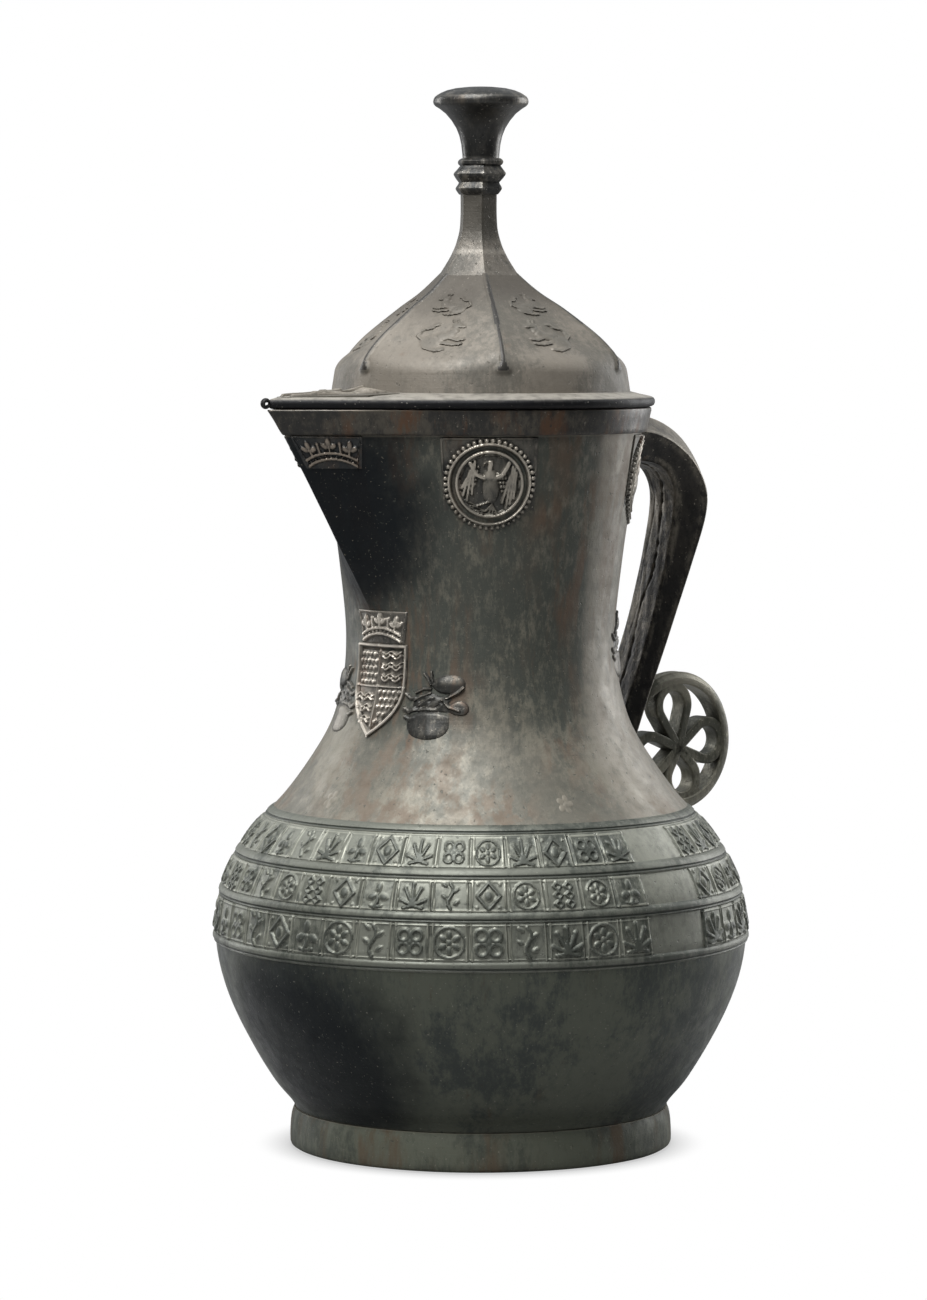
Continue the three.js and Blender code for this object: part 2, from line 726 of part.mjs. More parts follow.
const domeRadius = curveThrough([
  [0, 88.2],
  [14, 86],
  [22, 84.5],
  [30, 78.5],
  [37, 70.5],
  [51, 51],
  [60, 37],
  [74, 24],
].map(([rise, radius]) => [DOME_Z + rise, (radius * DOME_FOOT_RADIUS) / 88.2]));
const domeRoundness = (z) => 1 - THREE.MathUtils.smoothstep(z, DOME_Z + 14, DOME_Z + 34);

// A section between a circle (roundness 1) and a hexagon (0) whose corners lie on the radius.
function ribbedSection(radius, z, roundness, count = 24) {
  const section = [];
  for (let i = 0; i < count; i += 1) {
    const angle = (2 * Math.PI * i) / count;
    const toFlat = (angle % (Math.PI / 3)) - Math.PI / 6;
    const flat = (radius * Math.cos(Math.PI / 6)) / Math.cos(toFlat);
    const r = THREE.MathUtils.lerp(flat, radius, roundness);
    section.push(new THREE.Vector3(r * Math.cos(angle), r * Math.sin(angle), z));
  }
  return section;
}

function domeSolid(fromZ, toZ, inset, rows) {
  const sections = steps(fromZ, toZ, rows).map((z) =>
    ribbedSection(domeRadius(z) - inset, z, domeRoundness(z)),
  );
  return toSolid(loft(sections));
}

function hexLoft(rows, around = 6) {
  return loft(rows.map(([radius, z]) => ribbedSection(radius, z, 0, around)));
}

// The button's outline, as shares of its radius and of its height
const BUTTON_SHAPE = [
  [0.382, 0],
  [0.411, 0.185],
  [0.496, 0.4],
  [0.625, 0.544],
  [0.761, 0.64],
  [0.95, 0.724],
  [1, 0.784],
  [0.979, 0.856],
  [0.857, 0.942],
  [0.45, 1],
];

function addLid() {
  const flangeRows = [
    [DOME_FOOT_RADIUS - DOME_WALL, DOME_FOOT_RADIUS - DOME_WALL + 1, FLANGE_Z],
    [LID_RADIUS - LID_EDGE, LID_REACH - LID_EDGE, FLANGE_Z],
    [LID_RADIUS, LID_REACH, FLANGE_Z + LID_EDGE],
    [LID_RADIUS, LID_REACH, FLANGE_TOP - LID_EDGE],
    [LID_RADIUS - LID_EDGE, LID_REACH - LID_EDGE, FLANGE_TOP],
    [DOME_FOOT_RADIUS - DOME_WALL, DOME_FOOT_RADIUS - DOME_WALL + 1, FLANGE_TOP],
  ];
  add("lid_flange", ringLoft(flangeRows.map(([r, k, z]) => mouthOutline(r, k, z))), LID_BRASS);
  const cavityTop = DOME_TOP - 8;
  const dome = domeSolid(DOME_Z, DOME_TOP, 0, 14).subtract(
    domeSolid(DOME_Z - 1, cavityTop, DOME_WALL, 8),
  );
  add("lid_dome", fromSolid(mainBody(dome)), LID_BRASS);
  const seatOuter = RIM_RADIUS - NECK_WALL - 1.5 - SEAT_RING.clearance;
  const seatTop = FLANGE_Z - SEAT;
  add(
    "lid_seat_ring",
    turned([
      [seatOuter - SEAT_RING.wall, seatTop - SEAT_RING.height],
      [seatOuter - 1, seatTop - SEAT_RING.height],
      [seatOuter, seatTop - SEAT_RING.height + 2],
      [seatOuter, seatTop],
      [seatOuter - SEAT_RING.wall, seatTop],
    ]),
    LID_BRASS,
  );
  const stemFoot = DOME_TOP + SEAT;
  const stemTop = DOME_TOP + STEM.height;
  const waist = (share) => THREE.MathUtils.lerp(STEM.foot, STEM.radius, share);
  add(
    "lid_stem",
    hexLoft([
      [STEM.foot, stemFoot],
      [waist(0.27), stemFoot + STEM.height * 0.08],
      [waist(0.5), stemFoot + STEM.height * 0.178],
      [waist(0.77), stemFoot + STEM.height * 0.359],
      [waist(0.95), stemFoot + STEM.height * 0.54],
      [STEM.radius, stemFoot + STEM.height * 0.74],
      [STEM.radius, stemTop],
    ]),
    LID_BRASS,
  );
  const knopLower = STEM.radius + KNOP.lower;
  const knopMiddle = STEM.radius + KNOP.middle;
  const knopUpper = STEM.radius + KNOP.upper;
  const lowerTop = stemTop + KNOP.lowerRise;
  const middleTop = stemTop + KNOP.middleRise;
  const knopTop = stemTop + KNOP.height;
  const knop = [
    [knopLower, stemTop + SEAT],
    [knopLower, lowerTop],
    [knopMiddle - 1.5, lowerTop + 0.6],
    [knopMiddle + 0.4, (lowerTop + middleTop) / 2],
    [knopMiddle - 1.5, middleTop - 0.6],
    [knopUpper, middleTop],
    [knopUpper, knopTop],
  ];
  add("stem_knop", hexLoft(knop), LID_BRASS);
  const cup = BUTTON_SHAPE.map(([radiusShare, heightShare]) => [
    BUTTON.radius * radiusShare,
    THREE.MathUtils.lerp(knopTop + SEAT, knopTop + BUTTON.height, heightShare),
  ]);
  add("finial_button", turnedSolid(cup, BUTTON.facets), LID_BRASS);
  const bead = new THREE.TorusGeometry(BEAD.radius, BEAD.tube, 6, 12).rotateX(Math.PI / 2);
  bead.translate(-(LID_REACH + SEAT + BEAD.radius + BEAD.tube), 0, (FLANGE_Z + FLANGE_TOP) / 2);
  add("tongue_bead", bead, LID_BRASS);
}

addFoot();
addFillets();
addBands();
addNeck();
addCollar();
addHandle();
addRoundel();
addRaisedWork();
addLid();

export default model;
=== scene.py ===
"""Looks of a large cast brass ewer, built round its packed construction.

The construction carries every piece as a plain faceted solid. This script lays smooth, finely
carved skins over those solids: the round belly and flaring neck, the keeled spout, the tiled
bands, the raised devices, the strap handle with its pierced roundel, and the ribbed lid. Shapes
are worked out in millimetres in the ewer's own frame (+Z up, spout to -X, handle to +X) and are
turned into metres when a mesh is made.
"""

import logging
import math
from collections.abc import Callable, Iterable, Sequence
from dataclasses import dataclass, field, replace
from enum import Enum

import bmesh
import bpy
import numpy as np
from mathutils import Matrix, Vector


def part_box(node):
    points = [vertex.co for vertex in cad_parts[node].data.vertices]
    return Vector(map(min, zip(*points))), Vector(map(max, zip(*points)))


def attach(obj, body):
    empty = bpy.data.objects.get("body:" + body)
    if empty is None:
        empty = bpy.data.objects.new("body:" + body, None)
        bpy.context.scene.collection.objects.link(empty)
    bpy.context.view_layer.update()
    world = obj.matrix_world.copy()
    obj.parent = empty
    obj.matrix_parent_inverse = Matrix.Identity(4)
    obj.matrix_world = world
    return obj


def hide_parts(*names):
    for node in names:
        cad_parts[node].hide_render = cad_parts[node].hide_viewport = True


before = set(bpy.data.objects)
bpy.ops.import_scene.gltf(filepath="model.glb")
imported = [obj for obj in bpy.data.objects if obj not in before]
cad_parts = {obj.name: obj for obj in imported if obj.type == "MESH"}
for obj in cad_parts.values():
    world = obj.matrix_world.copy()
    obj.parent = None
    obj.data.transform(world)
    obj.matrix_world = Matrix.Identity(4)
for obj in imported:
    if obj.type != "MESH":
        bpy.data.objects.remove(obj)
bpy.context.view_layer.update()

LOG = logging.getLogger("ewer")
MM = 0.001
TAU = 2.0 * math.pi
Array = np.ndarray
Place = Callable[[Array, Array, Array], Array]
Colour = tuple[float, float, float]
Point = tuple[float, float]
Line = Sequence[Point]
Socket = bpy.types.NodeSocket
COLOURS = ("Metal", "Patina", "Streak", "Worn", "Stain And Reflection")


class Body(Enum):
    """The bodies of the construction that a piece can ride on."""

    VESSEL = "body"
    LID = "lid"


def top_of(node: str) -> float:
    """Height of a node's highest point, in millimetres."""
    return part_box(node)[1].z / MM


def foot_of(node: str) -> float:
    """Height of a node's lowest point, in millimetres."""
    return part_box(node)[0].z / MM


def curve_through(stations: Line) -> Callable[[Array], Array]:
    """Makes a smooth curve through stations.

    Args:
        stations: (x, y) pairs with rising x.

    Returns:
        A function that reads y at any x, with slopes taken from the neighbouring stations.
    """
    xs = np.array([x for x, _ in stations], float)
    ys = np.array([y for _, y in stations], float)
    before = np.concatenate([[0], np.arange(len(xs) - 1)])
    after = np.concatenate([np.arange(1, len(xs)), [len(xs) - 1]])
    slopes = (ys[after] - ys[before]) / (xs[after] - xs[before])

    def read(x: Array) -> Array:
        """Reads the curve at x."""
        x = np.clip(np.asarray(x, float), xs[0], xs[-1])
        i = np.clip(np.searchsorted(xs, x, side="right") - 1, 0, len(xs) - 2)
        width = xs[i + 1] - xs[i]
        t = (x - xs[i]) / width
        start = (1 + 2 * t) * (1 - t) ** 2 * ys[i] + t * (1 - t) ** 2 * width * slopes[i]
        end = t**2 * (3 - 2 * t) * ys[i + 1] - t**2 * (1 - t) * width * slopes[i + 1]
        return start + end

    return read


def smoothstep(x: Array, low: float, high: float) -> Array:
    """Rises smoothly from 0 at low to 1 at high."""
    t = np.clip((np.asarray(x, float) - low) / (high - low), 0, 1)
    return t * t * (3 - 2 * t)


@dataclass
class CastingWaves:
    """The faint unevenness of a surface cast in loam, as a sum of slow waves.

    Attributes:
        depth: Share of its radius by which waves of height 1 move a point.
        count: Number of waves.
        lengths: Shortest and longest wave.
        limit: Greatest height that counts where waves add up.
        seed: Seed of the waves' directions.
    """

    depth: float = 0.0016
    count: int = 14
    lengths: Point = (28.0, 120.0)
    limit: float = 1.5
    seed: int = 7
    waves: Array = field(init=False)
    phases: Array = field(init=False)

    def __post_init__(self) -> None:
        """Draws the waves."""
        rng = np.random.default_rng(self.seed)
        lengths = rng.uniform(*self.lengths, self.count)
        directions = rng.normal(size=(self.count, 3))
        directions /= np.linalg.norm(directions, axis=1, keepdims=True)
        self.waves = directions * (TAU / lengths)[:, None]
        self.phases = rng.uniform(0, TAU, self.count)

    def moved(self, points: Array) -> Array:
        """Returns points, one a row, moved a little nearer to the axis or away from it."""
        swell = np.sin(points @ self.waves.T + self.phases).sum(axis=1) / math.sqrt(self.count)
        out = points.copy()
        out[:, :2] *= 1 + (self.depth * np.clip(swell, -self.limit, self.limit))[:, None]
        return out


WAVES = CastingWaves()


class MeshMaker:
    """Collects grids of points and turns them into one mesh object."""

    def __init__(self) -> None:
        """Starts with no points."""
        self.points: list[Array] = []
        self.wear: list[Array] = []
        self.faces: list[tuple[int, ...]] = []
        self.wound = False
        self.count = 0

    def add_points(self, points: Array, wear: Array | float = 0.5) -> Array:
        """Stores points.

        Args:
            points: Array whose last axis holds x, y and z in millimetres.
            wear: How pale each point is, 0 to 1: how far it stands up from its ground, with painted
                highlights and shade that some pieces add.

        Returns:
            The points' indexes, in the shape of the grid.
        """
        shape = points.shape[:-1]
        number = int(np.prod(shape))
        self.points.append(points.reshape(number, 3))
        self.wear.append(np.broadcast_to(np.asarray(wear, float), shape).reshape(number))
        index = np.arange(self.count, self.count + number).reshape(shape)
        self.count += number
        return index

    def sew(self, index: Array, wrap_rows: bool = False, wrap_cols: bool = False) -> None:
        """Covers a grid of indexes with four-sided faces."""
        if wrap_rows:
            index = np.concatenate([index, index[:1]], axis=0)
        if wrap_cols:
            index = np.concatenate([index, index[:, :1]], axis=1)
        quads = np.stack([index[:-1, :-1], index[1:, :-1], index[1:, 1:], index[:-1, 1:]], axis=-1)
        self.faces += [tuple(quad) for quad in quads.reshape(-1, 4).tolist()]

    def close(self, ring: Array) -> None:
        """Closes a ring of indexes with one face."""
        self.faces.append(tuple(int(i) for i in ring))

    def tube(self, rows: Array, wear: Array | float = 0.5, closed: bool = False) -> "MeshMaker":
        """Adds a tube of cross-sections.

        Args:
            rows: Points of the cross-sections, each a closed ring.
            wear: How pale each point is, 0 to 1: how far it stands up from its ground, with painted
                highlights and shade that some pieces add.
            closed: Whether the last row joins the first. Otherwise both ends get a face.

        Returns:
            This maker.
        """
        index = self.add_points(rows, wear)
        self.sew(index, wrap_rows=closed, wrap_cols=True)
        if not closed:
            self.close(index[0])
            self.close(index[-1][::-1])
        return self

    def patch(self, place: Place, us: Array, vs: Array, height: Array, wear: Array,
              sink: float = 1.2) -> "MeshMaker":
        """Adds a carved patch whose edges are sunk into what it stands on.

        Args:
            place: Puts (across, up, out) on the surface.
            us: Positions across, one a column.
            vs: Positions up, one a row.
            height: Heights over the surface, columns by rows.
            wear: How pale each point is, 0 to 1: how far it stands up from its ground, with painted
                highlights and shade that some pieces add.
            sink: Depth of the edges under the surface.

        Returns:
            This maker.
        """
        u = np.broadcast_to(us[:, None], height.shape)
        v = np.broadcast_to(vs, height.shape)
        face = self.add_points(place(u, v, height), wear)
        self.sew(face)
        self.wound = True
        for front, side in ((face[:, 0], np.s_[:, 0]), (face[::-1, -1], np.s_[::-1, -1]),
                            (face[0, ::-1], np.s_[0, ::-1]), (face[-1], np.s_[-1])):
            rim = self.add_points(place(u[side], v[side], np.full(len(front), -sink)), 0.0)
            self.sew(np.stack([front, rim], axis=1))
        return self

    def make(self, name: str, body: Body, finish: "BrassFinish", replaces: Iterable[str] = (),
             wavy: bool = True, crease: float = 38.0) -> bpy.types.Object:
        """Makes the mesh object and ties it to the construction.

        Args:
            name: The piece's name.
            body: The body that carries it.
            finish: Its finish.
            replaces: Nodes of the construction that it stands for.
            wavy: Whether it follows the casting's unevenness.
            crease: Angle in degrees over which an edge stays sharp.

        Returns:
            The new object.
        """
        points = np.concatenate(self.points)
        if wavy:
            points = WAVES.moved(points)
        mesh = bpy.data.meshes.new(name)
        mesh.from_pydata((points * MM).tolist(), [], self.faces)
        if not self.wound:
            work = bmesh.new()
            work.from_mesh(mesh)
            bmesh.ops.recalc_face_normals(work, faces=work.faces)
            work.to_mesh(mesh)
            work.free()
        # The relief attribute holds wear and, on some pieces, painted highlights and shade.
        relief = mesh.attributes.new("relief", "FLOAT", "POINT")
        relief.data.foreach_set("value", np.concatenate(self.wear).astype(np.float32))
        mesh.polygons.foreach_set("use_smooth", [True] * len(mesh.polygons))
        mesh.set_sharp_from_angle(angle=math.radians(crease))
        mesh.materials.append(finish.material())
        piece = bpy.data.objects.new(name, mesh)
        bpy.context.scene.collection.objects.link(piece)
        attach(piece, body.value)
        names = list(replaces)
        if names:
            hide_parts(*names)
        LOG.info("%s: %d points on body %s, finish %s", name, len(points), body.value, finish.name)
        return piece


@dataclass(frozen=True)
class BrassFinish:
    """An aged brass surface: metal under patina, rust streaks, worn high points, a patch of stain and
    painted dark reflection.

    Attributes:
        name: The finish's name.
        slot: The record's material slot. Not used.
        metal: Colour where the metal shows.
        patina: Colour of the dark film, also used for painted shade.
        streak: Colour of the rust-brown streaks.
        worn: Colour of rubbed high points, also used for painted highlights.
        stain_and_reflection: Colour of the large dark patch: a stain, and on the neck and belly a painted
            dark reflection.
        patina_share: How much of the surface the film covers, 0 to 1.
        streak_share: How much of the surface the streaks cover, 0 to 1.
        roughness: Mean roughness.
        metallic: How metallic the surface is under its film, 0 to 1.
        grain: Height of the casting's grain in millimetres.
        stain_and_reflection_centre: Middle of the dark patch, in metres.
        stain_and_reflection_size: Radius of the patch in metres.
        stain_and_reflection_share: How much the patch covers, 0 to 1.
    """

    name: str
    slot: str
    metal: Colour
    patina: Colour
    streak: Colour
    worn: Colour
    stain_and_reflection: Colour = (0.008, 0.010, 0.012)
    patina_share: float = 0.5
    streak_share: float = 0.25
    roughness: float = 0.42
    metallic: float = 0.55
    grain: float = 0.12
    stain_and_reflection_centre: Colour = (0.0, 0.0, 0.0)
    stain_and_reflection_size: float = 0.1
    stain_and_reflection_share: float = 0.0

    def material(self) -> bpy.types.Material:
        """Returns the finish's material, made at its first use."""
        made = bpy.data.materials.get(self.name)
        if made:
            return made
        made = bpy.data.materials.new(self.name)
        made.use_nodes = True
        wiring = Wiring(made.node_tree)
        inputs = {
            "Patina Share": self.patina_share, "Streak Share": self.streak_share,
            "Roughness": self.roughness, "Stain And Reflection Centre": self.stain_and_reflection_centre,
            "Stain And Reflection Size": self.stain_and_reflection_size, "Stain And Reflection Share": self.stain_and_reflection_share,
        }
        colours = (self.metal, self.patina, self.streak, self.worn, self.stain_and_reflection)
        inputs.update({name: (*colour, 1.0) for name, colour in zip(COLOURS, colours)})
        aged = wiring.node("ShaderNodeGroup", inputs, node_tree=aged_brass_group()).outputs
        bump = wiring.node("ShaderNodeBump", {"Strength": 1.0, "Distance": self.grain * MM,
                                              "Height": aged["Grain"]})
        wiring.feed(made.node_tree.nodes["Principled BSDF"], {
            "Base Color": aged["Colour"], "Metallic": self.metallic, "Roughness": aged["Roughness"],
            "Specular IOR Level": aged["Gloss"], "Normal": bump.outputs["Normal"],
        })
        return made


class Wiring:
    """Adds nodes to a shader tree and feeds them, in few words."""

    def __init__(self, tree: bpy.types.NodeTree) -> None:
        """Takes the tree that the nodes go into."""
        self.tree = tree

    def feed(self, node: bpy.types.Node, inputs: dict[int | str, object]) -> None:
        """Gives a node's inputs, by name or number, their values or the sockets that feed them."""
        for key, value in inputs.items():
            if isinstance(value, Socket):
                self.tree.links.new(value, node.inputs[key])
            else:
                node.inputs[key].default_value = value

    def node(self, kind: str, inputs: dict[int | str, object] | None = None,
             **settings: object) -> bpy.types.Node:
        """Adds a node.

        Args:
            kind: The node's type.
            inputs: Values or sockets for its inputs, by name or number.
            **settings: The node's own settings.

        Returns:
            The new node.
        """
        made = self.tree.nodes.new(kind)
        for key, value in settings.items():
            setattr(made, key, value)
        self.feed(made, inputs or {})
        return made

    def noise(self, vector: Socket, scale: float, detail: float = 5.0, roughness: float = 0.55) -> Socket:
        """Returns a noise value at a vector."""
        return self.node("ShaderNodeTexNoise", {"Vector": vector, "Scale": scale, "Detail": detail,
                                                "Roughness": roughness}).outputs["Fac"]

    def stretched(self, vector: Socket, scale: Colour) -> Socket:
        """Returns a vector scaled along its axes."""
        return self.node("ShaderNodeMapping", {"Vector": vector, "Scale": scale}).outputs["Vector"]

    def ramp(self, value: Socket, low: object, high: object, out: Point = (0.0, 1.0),
             curve: str = "SMOOTHSTEP") -> Socket:
        """Returns a value mapped from low and high to the two ends of out."""
        return self.node("ShaderNodeMapRange", {"Value": value, "From Min": low, "From Max": high,
                                                "To Min": out[0], "To Max": out[1]},
                         interpolation_type=curve).outputs["Result"]

    def maths(self, operation: str, first: object, second: object) -> Socket:
        """Returns the result of a sum on two values."""
        return self.node("ShaderNodeMath", {0: first, 1: second}, operation=operation).outputs[0]

    def edged(self, value: Socket, share: Socket, edge: float, swing: float, soft: float) -> Socket:
        """Returns where a noise passes an edge that a share lowers.

        Args:
            value: The noise.
            share: How much of the surface is wanted, 0 to 1.
            edge: The edge at a share of 0.
            swing: How far a share of 1 lowers it.
            soft: Half of the edge's softness.

        Returns:
            A value that is 0 well under the edge and 1 well over it.
        """
        edge = self.maths("SUBTRACT", edge, self.maths("MULTIPLY", share, swing))
        return self.ramp(value, self.maths("SUBTRACT", edge, soft), self.maths("ADD", edge, soft))

    def blend(self, share: object, first: object, second: object) -> Socket:
        """Returns the first colour turned into the second by a share."""
        return self.node("ShaderNodeMix", {0: share, 6: first, 7: second}, data_type="RGBA").outputs[2]

    def for_camera(self, others: Socket, camera: Socket) -> Socket:
        """Returns one shader for the camera's own rays and another for all others."""
        rays = self.node("ShaderNodeLightPath").outputs["Is Camera Ray"]
        return self.node("ShaderNodeMixShader", {0: rays, 1: others, 2: camera}).outputs[0]

def aged_brass_group() -> bpy.types.NodeTree:
    """Returns the node group of aged cast brass, made at its first use.

    Patina lies in soft clouds and deep in the carving, streaks run down, pits and bright specks
    are scattered, and high points are rubbed to a paler metal. The relief value that sets the paler
    and darker metal also carries painted highlights and painted shade where a piece adds them, and a
    large dark patch of stain and painted dark reflection, with less gloss, lies round a given centre.
    """
    name = "aged cast brass"
    if name in bpy.data.node_groups:
        return bpy.data.node_groups[name]
    group = Wiring(bpy.data.node_groups.new(name, "ShaderNodeTree"))
    for kind, names in (
        ("INPUT NodeSocketColor", COLOURS),
        ("INPUT NodeSocketFloat", ("Patina Share", "Streak Share", "Roughness", "Stain And Reflection Size",
                                   "Stain And Reflection Share")),
        ("INPUT NodeSocketVector", ("Stain And Reflection Centre",)),
        ("OUTPUT NodeSocketColor", ("Colour",)),
        ("OUTPUT NodeSocketFloat", ("Roughness", "Grain", "Gloss")),
    ):
        way, socket_type = kind.split()
        for socket in names:
            group.tree.interface.new_socket(name=socket, in_out=way, socket_type=socket_type)
    given = group.node("NodeGroupInput").outputs
    place = group.node("ShaderNodeTexCoord").outputs["Object"]

    clouds = group.noise(place, 11.0, 7.0, 0.62)
    film = group.edged(clouds, given["Patina Share"], 0.78, 0.56, 0.1)
    mottle = group.noise(place, 85.0, 6.0, 0.7)
    film = group.maths("MULTIPLY", film, group.ramp(mottle, 0.25, 0.62, (0.55, 1.0)))

    runs = group.noise(group.stretched(place, (70.0, 70.0, 9.0)), 1.0, 6.0, 0.68)
    patches = group.noise(group.stretched(place, (1.0, 1.0, 0.7)), 19.0, 3.0)
    streaks = group.edged(runs, given["Streak Share"], 0.74, 0.36, 0.07)
    streaks = group.maths("MULTIPLY", streaks, group.ramp(patches, 0.40, 0.60, (0.05, 0.85)))

    # The large dark patch: a stain, and on the neck and belly a painted dark reflection; it also lowers the
    # gloss.
    size = given["Stain And Reflection Size"]
    away = group.node("ShaderNodeVectorMath", {0: place, 1: given["Stain And Reflection Centre"]}, operation="DISTANCE")
    ragged = group.maths("SUBTRACT", clouds, 0.5)
    ragged = group.maths("MULTIPLY", ragged, group.maths("MULTIPLY", size, 1.3))
    far = group.maths("ADD", away.outputs["Value"], ragged)
    stain_and_reflection = group.ramp(far, group.maths("MULTIPLY", size, 0.45), size, (1.0, 0.0))
    stain_and_reflection = group.maths("MULTIPLY", stain_and_reflection, given["Stain And Reflection Share"])

    # relief holds how far a point stands up, plus painted highlights and shade that some pieces add: high
    # gives worn metal and painted highlights, deep gives patina in the hollows and painted shade.
    relief = group.node("ShaderNodeAttribute", attribute_name="relief").outputs["Fac"]
    rub = group.noise(place, 140.0, 4.0)
    high = group.maths("MULTIPLY", group.ramp(relief, 0.62, 0.98), group.ramp(rub, 0.3, 0.6, (0.6, 1.0)))
    deep = group.ramp(relief, 0.05, 0.42, (0.85, 0.0))
    edge = group.node("ShaderNodeNewGeometry").outputs["Pointiness"]
    high = group.maths("MAXIMUM", high, group.maths("MULTIPLY", group.ramp(edge, 0.53, 0.62), 0.7))

    specks = group.ramp(group.noise(place, 620.0, 2.0), 0.67, 0.74)
    pits = group.ramp(group.noise(place, 330.0, 3.0), 0.66, 0.72)

    weave = group.noise(group.stretched(place, (250.0, 250.0, 95.0)), 1.0, 5.0, 0.78)
    film = group.maths("ADD", film, group.ramp(weave, 0.35, 0.65, (-0.33, 0.33)))
    film = group.ramp(film, 0.0, 1.0)
    colour = group.blend(film, given["Metal"], given["Patina"])
    colour = group.blend(streaks, colour, given["Streak"])
    colour = group.blend(deep, colour, given["Patina"])
    colour = group.blend(stain_and_reflection, colour, given["Stain And Reflection"])
    colour = group.blend(high, colour, given["Worn"])
    colour = group.blend(group.maths("MULTIPLY", specks, 0.55), colour, given["Worn"])
    colour = group.blend(group.maths("MULTIPLY", pits, 0.6), colour, given["Patina"])

    rough = group.maths("ADD", given["Roughness"], group.ramp(mottle, 0.3, 0.7, (-0.07, 0.09)))
    rough = group.maths("ADD", rough, group.maths("MULTIPLY", streaks, 0.12))
    rough = group.maths("SUBTRACT", rough, group.maths("MULTIPLY", high, 0.08))

    grain = group.maths("ADD", group.noise(place, 420.0, 5.0, 0.6), group.maths("MULTIPLY", mottle, 0.9))
    grain = group.maths("SUBTRACT", grain, group.maths("MULTIPLY", pits, 1.1))
    scores = group.noise(group.stretched(place, (12.0, 12.0, 900.0)), 1.0, 3.0)
    grain = group.maths("ADD", grain, group.maths("MULTIPLY", scores, 0.35))

    gloss = group.maths("SUBTRACT", 0.5, group.maths("MULTIPLY", stain_and_reflection, 0.38))
    group.node("NodeGroupOutput", {"Colour": colour, "Roughness": rough, "Grain": grain, "Gloss": gloss})
    return group.tree


# The large dark patch on the spout's facets is a painted dark reflection over the neck's patina.
NECK_FINISH = BrassFinish(
    "aged neck", "neck_brass", metal=(0.157, 0.147, 0.114), patina=(0.054, 0.058, 0.048),
    streak=(0.105, 0.068, 0.044), worn=(0.187, 0.168, 0.133), patina_share=0.62, streak_share=0.62,
    roughness=0.53, metallic=0.32, stain_and_reflection_centre=(-0.118, 0.0, 0.375), stain_and_reflection_size=0.092,
    stain_and_reflection_share=0.97,
)
RIM_FINISH = BrassFinish(
    "aged rim", "rim_brass", metal=(0.075, 0.066, 0.052), patina=(0.026, 0.025, 0.023),
    streak=(0.10, 0.05, 0.026), worn=(0.26, 0.23, 0.19), patina_share=0.6, streak_share=0.5,
    roughness=0.40,
)
# The large dark patch low on the belly's spout side is a painted dark reflection over its patina.
BELLY_FINISH = BrassFinish(
    "aged belly", "belly_brass", metal=(0.075, 0.081, 0.062), patina=(0.034, 0.04, 0.036),
    streak=(0.05, 0.034, 0.022), worn=(0.20, 0.19, 0.16), patina_share=0.45, streak_share=0.25,
    roughness=0.42, stain_and_reflection_centre=(-0.139, -0.013, 0.07), stain_and_reflection_size=0.09, stain_and_reflection_share=0.92,
)
FOOT_FINISH = BrassFinish(
    "aged foot", "foot_brass", metal=(0.122, 0.13, 0.096), patina=(0.047, 0.052, 0.042),
    streak=(0.11, 0.068, 0.038), worn=(0.24, 0.22, 0.17), patina_share=0.5, streak_share=0.58,
    roughness=0.66, metallic=0.1, stain_and_reflection=(0.07, 0.075, 0.058), stain_and_reflection_size=1.0, stain_and_reflection_share=0.32,
)
BAND_FINISH = BrassFinish(
    "aged band", "band_brass", metal=(0.152, 0.157, 0.13), patina=(0.046, 0.051, 0.042),
    streak=(0.11, 0.085, 0.06), worn=(0.245, 0.247, 0.205), patina_share=0.42, streak_share=0.12,
    roughness=0.5, metallic=0.4,
)
SPOUT_FINISH = BrassFinish(
    "aged spout", "spout_brass", metal=(0.09, 0.08, 0.066), patina=(0.02, 0.022, 0.023),
    streak=(0.12, 0.07, 0.04), worn=(0.24, 0.20, 0.16), patina_share=0.7, streak_share=0.4,
    roughness=0.42,
)
HANDLE_FINISH = BrassFinish(
    "aged handle", "handle_brass", metal=(0.13, 0.115, 0.092), patina=(0.014, 0.013, 0.012),
    streak=(0.12, 0.08, 0.055), worn=(0.30, 0.27, 0.222), patina_share=0.55, streak_share=0.25,
    roughness=0.46, grain=0.2,
)
ROUNDEL_FINISH = BrassFinish(
    "aged roundel", "handle_brass", metal=(0.185, 0.175, 0.135), patina=(0.06, 0.06, 0.045),
    streak=(0.15, 0.12, 0.08), worn=(0.42, 0.39, 0.32), patina_share=0.5, streak_share=0.25,
    roughness=0.44, grain=0.2,
)
RELIEF_FINISH = BrassFinish(
    "aged relief", "relief_brass", metal=(0.15, 0.138, 0.115), patina=(0.034, 0.034, 0.031),
    streak=(0.14, 0.075, 0.042), worn=(0.42, 0.38, 0.32), patina_share=0.45, streak_share=0.4,
    roughness=0.42,
)
SHIELD_FINISH = replace(
    RELIEF_FINISH, name="aged shield", metal=(0.22, 0.20, 0.17), worn=(0.56, 0.51, 0.44),
    patina_share=0.34,
)
